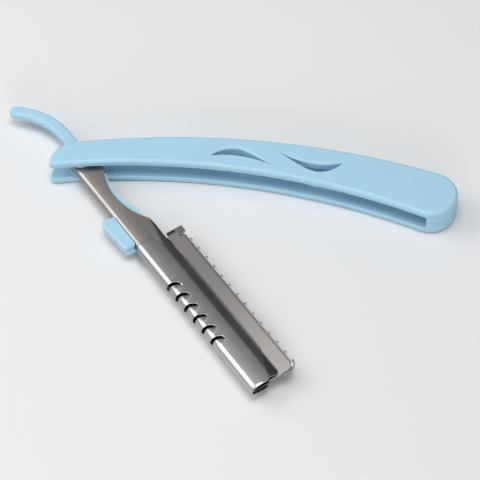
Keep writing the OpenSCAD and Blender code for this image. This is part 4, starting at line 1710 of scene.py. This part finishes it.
    def depth(self, ahead: float, y: float) -> float:
        """How deep the sheet is pressed in behind a slit.

        Args:
            ahead: distance from the slit, towards the tip.
            y: the row's place.

        Returns:
            The depth.
        """
        if not 0.0 <= ahead < self.press_run:
            return 0.0
        side = self.slit_y - max(ahead - self.hook, 0.0) / (self.press_run - self.hook) * self.press_lean
        share = smooth_step((side - y) / self.press_soft)
        if ahead < self.hook and y <= self.slit_y + ROW_GAP:
            share = 1.0
        return self.press * (1 - ahead / self.press_run) ** self.press_power * share

    def build(self, effects: Effects) -> None:
        """Builds the sleeve: a grid laid round the jaws, slit, pressed in and given its thickness.

        Args:
            effects: the shared shader groups.
        """
        rows, columns = self.section(), self.columns()
        bpy.ops.mesh.primitive_grid_add(x_subdivisions=len(columns) - 1, y_subdivisions=len(rows) - 1, size=2)
        sleeve = Solid(bpy.context.object)
        sleeve.obj.name = "head_clamp_sleeve"
        # The second material is the near-black painted shade for the slits' cut faces
        for finish in (SLEEVE_STEEL, SLIT_SHADE_STEEL):
            sleeve.obj.data.materials.append(finish.material(effects))
        wide = len(columns)
        for index, vertex in enumerate(sleeve.obj.data.vertices):
            vertex.co = self.spot(columns[index % wide], rows[index // wide])
        self.slit(sleeve, rows, columns)
        self.press_tongues(sleeve, rows, columns)
        self.thicken(sleeve)
        piece = sleeve.finish(REST_ANGLE, PARTING, self.smooth)
        hand_over(piece, "clamp_sleeve", "arm")

    def slit(self, sleeve: Solid, rows: list[Row], columns: list[float]) -> None:
        """Cuts the slits along the grid's lines.

        Args:
            sleeve: the sheet.
            rows: the sheet's rows.
            columns: the sheet's columns.
        """
        wide = len(columns)
        first_row, last_row = self.hook_rows(rows)
        path = set()
        for slit in self.slits():
            start = columns.index(slit)
            for row in range(first_row, last_row):
                path.add(frozenset((row * wide + start, (row + 1) * wide + start)))
            for column in range(start, columns.index(slit + self.hook)):
                for row in (first_row, last_row):
                    path.add(frozenset((row * wide + column, row * wide + column + 1)))
        with sleeve.picking("EDGE", lambda edge: frozenset(v.index for v in edge.verts) in path):
            bpy.ops.mesh.edge_split(type="EDGE")

    def press_tongues(self, sleeve: Solid, rows: list[Row], columns: list[float]) -> None:
        """Presses in the tongue ahead of each slit, and lifts the lip behind it a little.

        Args:
            sleeve: the sheet, with its slits cut.
            rows: the sheet's rows.
            columns: the sheet's columns.
        """
        first_row, last_row = self.hook_rows(rows)
        starts = [columns.index(slit) for slit in self.slits()]
        spots = {self.key(*self.spot(x, row)): (row_index, column)
                 for row_index, row in enumerate(rows) for column, x in enumerate(columns)}
        mesh = bmesh.new()
        mesh.from_mesh(sleeve.obj.data)
        moves = []
        for vertex in mesh.verts:
            row, column = spots[self.key(*vertex.co)]
            start = max((at for at in starts if at <= column), default=None)
            if start is not None and first_row <= row <= last_row:
                ahead = columns[column] - columns[start]
                moves.append((vertex, self.push(vertex, rows[row], ahead, row in (first_row, last_row))))
        for vertex, move in moves:
            vertex.co += move
        mesh.to_mesh(sleeve.obj.data)
        mesh.free()

    def push(self, vertex: bmesh.types.BMVert, row: Row, ahead: float, at_end: bool) -> Vector:
        """Finds how the pressing moves a vertex.

        Args:
            vertex: the vertex, with its own side of the slit's faces.
            row: its row's y and z, and the outward direction there.
            ahead: its distance from the slit behind it, towards the tip.
            at_end: whether it lies on a row of the slits' ends.

        Returns:
            The move.
        """
        y, _, out_y, out_z = row
        at_slit = ahead == 0.0
        centres = [face.calc_center_median() for face in vertex.link_faces]
        outside = not all(centre.y < self.slit_y - self.curl(centre.x, self.slit_y) for centre in centres)
        if at_slit and any(centre.x < vertex.co.x for centre in centres):
            outside = True
        if outside and (at_slit or (at_end and ahead < self.hook - ROW_GAP)):
            rise = self.lip_rise if at_slit and not at_end else 0.0
            return Vector((0.0, out_y * rise, out_z * rise))
        back = 0.0
        if at_slit:
            back = self.slit_gap * (self.hook_gap_share if at_end else 1.0)
        deep = self.depth(ahead, y)
        return Vector((back, -out_y * deep, -out_z * deep))

    @staticmethod
    def key(x: float, y: float, z: float) -> tuple[int, int, int]:
        """Turns a place into whole numbers that can be looked up."""
        return (round(x * 1000), round(y * 1000), round(z * 1000))

    def thicken(self, sleeve: Solid) -> None:
        """Gives the sheet its thickness, inwards, paints the cut faces by the slits near-black as painted
        shade, and takes the sharpness off its edges.

        Args:
            sleeve: the sheet.
        """
        with editing(sleeve.obj):
            bpy.ops.mesh.select_all(action="SELECT")
            bpy.ops.mesh.normals_make_consistent(inside=False)
        choose_only(sleeve.obj)
        wall = sleeve.obj.modifiers.new("Wall", "SOLIDIFY")
        wall.thickness = self.sheet_t
        wall.offset = -1.0
        wall.use_even_offset = True
        wall.material_offset_rim = 1
        bpy.ops.object.modifier_apply(modifier=wall.name)
        # Only the cut faces by the slits, on the spine's side, keep the near-black painted shade
        last = self.slits()[-1]
        for face in sleeve.obj.data.polygons:
            by_slit = self.slit_start - 2 * self.bow < face.center.x < last + 2 * self.hook
            if not by_slit or face.center.y > 0:
                face.material_index = 0
        sleeve.soften(self.edge_round, 2, self.edge_angle)


@dataclass
class Cartridge:
    """The blade and its comb guard, which slide out together."""

    # The blade and the corners cut off it
    start: float = 41.4
    end: float = 103.5
    back_y: float = 2.4
    edge_y: float = 12.1
    grind: float = 0.9
    blade_low: float = 0.025
    blade_t: float = 0.25
    blade_edge: float = 0.02
    blade_angle: float = 60.0
    blade_smooth: float = 20.0
    corner: tuple[Point, ...] = ((0.0, 2.7), (0.5, 1.35), (1.5, 0.6), (2.3, -0.2))
    # The guard's plate
    guard_low: float = -0.275
    guard_t: float = 0.3
    # The comb's tongues and their upright rims
    tooth_count: int = 13
    tooth_first: float = 46.2
    tooth_pitch: float = 4.3
    tooth_r: float = 0.75
    tooth_y: float = 12.0
    tooth_h: float = 0.95
    rim_t: float = 0.25
    rim_y: float = 12.22
    round_steps: int = 14
    # The lug at the near end
    lug_low: float = 7.1
    lug_high: float = 12.75
    lug_start: float = 39.9
    lug_end: float = 42.9
    lug_h: float = 1.0
    lug_top: float = 9.8
    lug_round: float = 1.0
    lug_steps: int = 6
    lug_foot: float = 0.2
    fold_in: float = 0.01
    # The hook round the far end and its foot
    hook_out: float = 104.3
    hook_r: float = 3.0
    foot_back: float = 1.0
    foot_corner: float = 0.3
    foot_in: float = 0.2
    # The soft edges, and how far the lug and the hook's foot are sunk in the plate
    edge_round: float = 0.05
    edge_angle: float = 50.0
    sunk: float = 0.02

    def blade(self) -> Solid:
        """Models the blade: ground to an edge along its front, with its corners cut.

        Returns:
            The blade.
        """
        top = self.blade_low + self.blade_t
        middle = self.blade_low + self.blade_t / 2
        drawing = Drawing("head_blade", (self.back_y, self.blade_low), Plane.END, at=self.start)
        drawing.line((self.edge_y - self.grind, self.blade_low), (self.edge_y, middle),
                     (self.edge_y - self.grind, top), (self.back_y, top))
        blade = drawing.depth(self.end - self.start)
        left, right, low = self.start - DRAWN_GAP, self.end + DRAWN_GAP, self.back_y - PAST
        near = [(left + x, self.edge_y - y) for x, y in self.corner]
        far = [(right - x, self.edge_y - y) for x, y in reversed(self.corner)]
        shape = Drawing("blade_outline", (left, low), at=-PAST)
        shape.line(*near, *far, (right, low))
        blade.trim(shape.depth(2 * PAST))
        return blade.soften(self.blade_edge, 1, self.blade_angle)

    def plate(self) -> Solid:
        """Models the guard's plate with its comb of round-ended tongues.

        Returns:
            The plate.
        """
        root = self.edge_y - self.grind
        drawing = Drawing("head_comb_guard", (self.start, self.back_y), at=self.guard_low)
        drawing.line((self.start, root))
        for index in range(self.tooth_count):
            middle = self.tooth_first + index * self.tooth_pitch
            drawing.line((middle - self.tooth_r, root), (middle - self.tooth_r, self.tooth_y))
            drawing.arc((middle, self.tooth_y), 180, self.round_steps)
            drawing.line((middle + self.tooth_r, root))
        drawing.line((self.end, root), (self.end, self.back_y))
        return drawing.depth(self.guard_t)

    def tooth_rim(self) -> Solid:
        """Models one tooth's upright rim, at the first tooth.

        Returns:
            The rim.
        """
        up = self.rim_y - self.tooth_y
        inner = self.tooth_r - self.rim_t
        outer_turn = math.degrees(math.acos(up / self.tooth_r))
        inner_turn = math.degrees(math.acos(up / inner))
        outer_x = math.sqrt(self.tooth_r ** 2 - up ** 2)
        inner_x = math.sqrt(inner ** 2 - up ** 2)
        centre = (self.tooth_first, self.tooth_y)
        drawing = Drawing("rim", (self.tooth_first - outer_x, self.rim_y), at=self.guard_low)
        drawing.arc(centre, 2 * outer_turn, self.round_steps)
        drawing.line((self.tooth_first + inner_x, self.rim_y))
        drawing.arc(centre, -2 * inner_turn, self.round_steps)
        return drawing.depth(self.tooth_h)

    def near_lug(self) -> Solid:
        """Models the lug at the blade's near end: an upright wall, folded over at its outer part.

        Returns:
            The lug.
        """
        top = self.guard_low + self.lug_h
        low, wall = self.guard_low + self.sunk, self.guard_t - 2 * self.sunk
        inner, foot = self.lug_start + wall, self.start + self.lug_foot
        drawing = Drawing("near_lug", (foot, low), Plane.FRONT, at=self.lug_low)
        drawing.line((self.lug_start, low), (self.lug_start, top), (inner, top), (inner, low + wall),
                     (foot, low + wall))
        lug = drawing.depth(self.lug_high - self.lug_low)
        left, high = self.lug_start + self.fold_in, self.lug_high - self.fold_in
        round_x = self.lug_end - self.lug_round
        fold = Drawing("fold", (left, self.lug_top), at=top - wall)
        fold.line((left, high), (round_x, high))
        fold.arc((round_x, high - self.lug_round), 90, self.lug_steps)
        fold.line((self.lug_end, self.lug_top + self.lug_round))
        fold.arc((round_x, self.lug_top + self.lug_round), 90, self.lug_steps)
        return lug.weld(fold.depth(wall - self.fold_in))

    def far_hook(self) -> Solid:
        """Models the upright hook round the blade's far end, and the plate under it.

        Returns:
            The hook.
        """
        centre = (self.hook_out - self.hook_r, self.lug_high - self.hook_r)
        inner = self.hook_out - self.guard_t
        drawing = Drawing("far_hook", (inner, self.lug_low), at=self.guard_low)
        drawing.line((inner, centre[1]))
        drawing.arc(centre, -90, self.round_steps)
        drawing.line((centre[0], self.lug_high))
        drawing.arc(centre, 90, self.round_steps)
        drawing.line((self.hook_out, self.lug_low))
        hook = drawing.depth(self.lug_h)
        left, right, high = self.end - self.foot_back, self.hook_out - self.foot_in, self.edge_y - self.grind
        foot = Drawing("foot", (left, self.lug_low), at=self.guard_low + self.sunk)
        foot.line((left, high), (self.end - self.foot_corner, high), (right, centre[1]),
                  (right, self.lug_low))
        return hook.weld(foot.depth(self.guard_t - 2 * self.sunk))

    def build(self, effects: Effects) -> None:
        """Builds the blade and the guard.

        Args:
            effects: the shared shader groups.
        """
        guard = self.plate().soften(self.edge_round, 2, self.edge_angle)
        rim = self.tooth_rim().soften(self.edge_round, 2, self.edge_angle)
        for index in range(1, self.tooth_count):
            guard.weld(rim.copy((index * self.tooth_pitch, 0.0, 0.0)))
        guard.weld(rim)
        guard.weld(self.near_lug())
        guard.weld(self.far_hook())
        piece = guard.finish(REST_ANGLE, PARTING)
        dress(piece, GUARD_STEEL, effects)
        hand_over(piece, "comb_guard", "cartridge")
        piece = self.blade().finish(REST_ANGLE, PARTING, self.blade_smooth)
        dress(piece, BLADE_STEEL, effects)
        hand_over(piece, "blade", "cartridge")


@dataclass
class Lamp:
    """One soft lamp of the studio, in metres and watts."""

    name: str
    place: tuple[float, float, float]
    aim: tuple[float, float, float]
    width: float
    height: float
    power: float

    def build(self) -> None:
        """Adds the lamp and turns it to what it lights."""
        bpy.ops.object.light_add(type="AREA", location=self.place)
        lamp = bpy.context.object
        lamp.name = self.name
        lamp.data.shape = "RECTANGLE"
        lamp.data.size = self.width
        lamp.data.size_y = self.height
        lamp.data.energy = self.power
        towards = Vector(self.aim) - Vector(self.place)
        lamp.rotation_euler = towards.to_track_quat("-Z", "Y").to_euler()


@dataclass
class Studio:
    """The floor, the lamps, the world and the camera."""

    # The camera
    camera_place: tuple[float, float, float] = (0.0515, -0.4103, 0.5082)
    camera_tilt: float = 37.0
    lens: float = 150.0
    sensor: float = 36.0
    # The floor, and the sky with its darker mirrored side
    floor_colour: Colour = (0.8, 0.81, 0.82)
    world_colour: Colour = (0.86, 0.87, 0.88)
    world_light: float = 0.22
    bright_side: tuple[float, float, float] = (-0.75, 0.05, 0.65)
    bright_range: tuple[float, float] = (0.05, 1.2)
    dark_mirror: float = 0.1
    floor_size: float = 6.0
    # Each lamp's name, place, aim, width, height and power
    lamps: tuple[Lamp, ...] = (
        Lamp("TopSoftbox", (0.05, -0.1, 0.9), (0.05, -0.02, 0.0), 0.5, 0.5, 4.2),
        Lamp("FrontSoftbox", (0.05, -0.8, 0.3), (0.05, -0.02, 0.0), 0.6, 0.3, 2.0),
        Lamp("LeftSoftbox", (-0.55, 0.05, 0.5), (0.03, -0.02, 0.0), 0.6, 0.5, 1.8),
        Lamp("BackSoftbox", (-0.41, 0.2, 0.66), (0.03, -0.02, 0.0), 0.6, 0.4, 0.9),
    )

    def build(self, effects: Effects) -> None:
        """Builds the studio round the razor.

        Args:
            effects: the shared shader groups.
        """
        bpy.ops.mesh.primitive_plane_add(size=self.floor_size, location=(0, 0, 0))
        floor = bpy.context.object
        floor.name = "studio_floor"
        dress(floor, PaleFloor("FloorPaint", self.floor_colour), effects)
        for lamp in self.lamps:
            lamp.build()
        self.build_world()
        bpy.ops.object.camera_add(location=self.camera_place, rotation=(math.radians(self.camera_tilt), 0, 0))
        camera = bpy.context.object
        camera.name = "PhotoCamera"
        camera.data.lens = self.lens
        camera.data.sensor_width = self.sensor
        bpy.context.scene.camera = camera
        bpy.context.scene.view_settings.view_transform = "Standard"

    def build_world(self) -> None:
        """Builds soft light from all round, with a pale backdrop, mirrored darker on its far side."""
        world = bpy.data.worlds.new("StudioWorld")
        bpy.context.scene.world = world
        world.use_nodes = True
        world.node_tree.nodes.clear()
        shader = Shader(world.node_tree)
        path = shader.add("LightPath").outputs
        mirrored = shader.maths("MAXIMUM", path["Is Glossy Ray"], path["Is Transmission Ray"])
        facing = shader.add("TexCoord").outputs["Generated"]
        side = shader.add("VectorMath", set_operation="DOT_PRODUCT", i0=facing, i1=self.bright_side)
        shade = shader.spread(side.outputs["Value"], *self.bright_range, self.dark_mirror, 1.0)
        soft = shader.add("Mix", set_data_type="FLOAT", i0=mirrored, i2=self.world_light, i3=shade)
        strength = shader.add("Mix", set_data_type="FLOAT", i0=path["Is Camera Ray"], i2=soft.outputs[0],
                              i3=1.0)
        sky = shader.add("Background", Color=self.world_colour, Strength=strength.outputs[0])
        shader.add("OutputWorld", Surface=sky.outputs[0])


def main() -> None:
    """Builds the razor and its studio."""
    logging.basicConfig(level=logging.INFO, format="%(message)s")
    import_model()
    effects = Effects()
    for part in (Handle(), Arm(), LockSlide(), ClampSleeve(), Cartridge()):
        part.build(effects)
    Studio().build(effects)


if __name__ == "__main__":
    main()
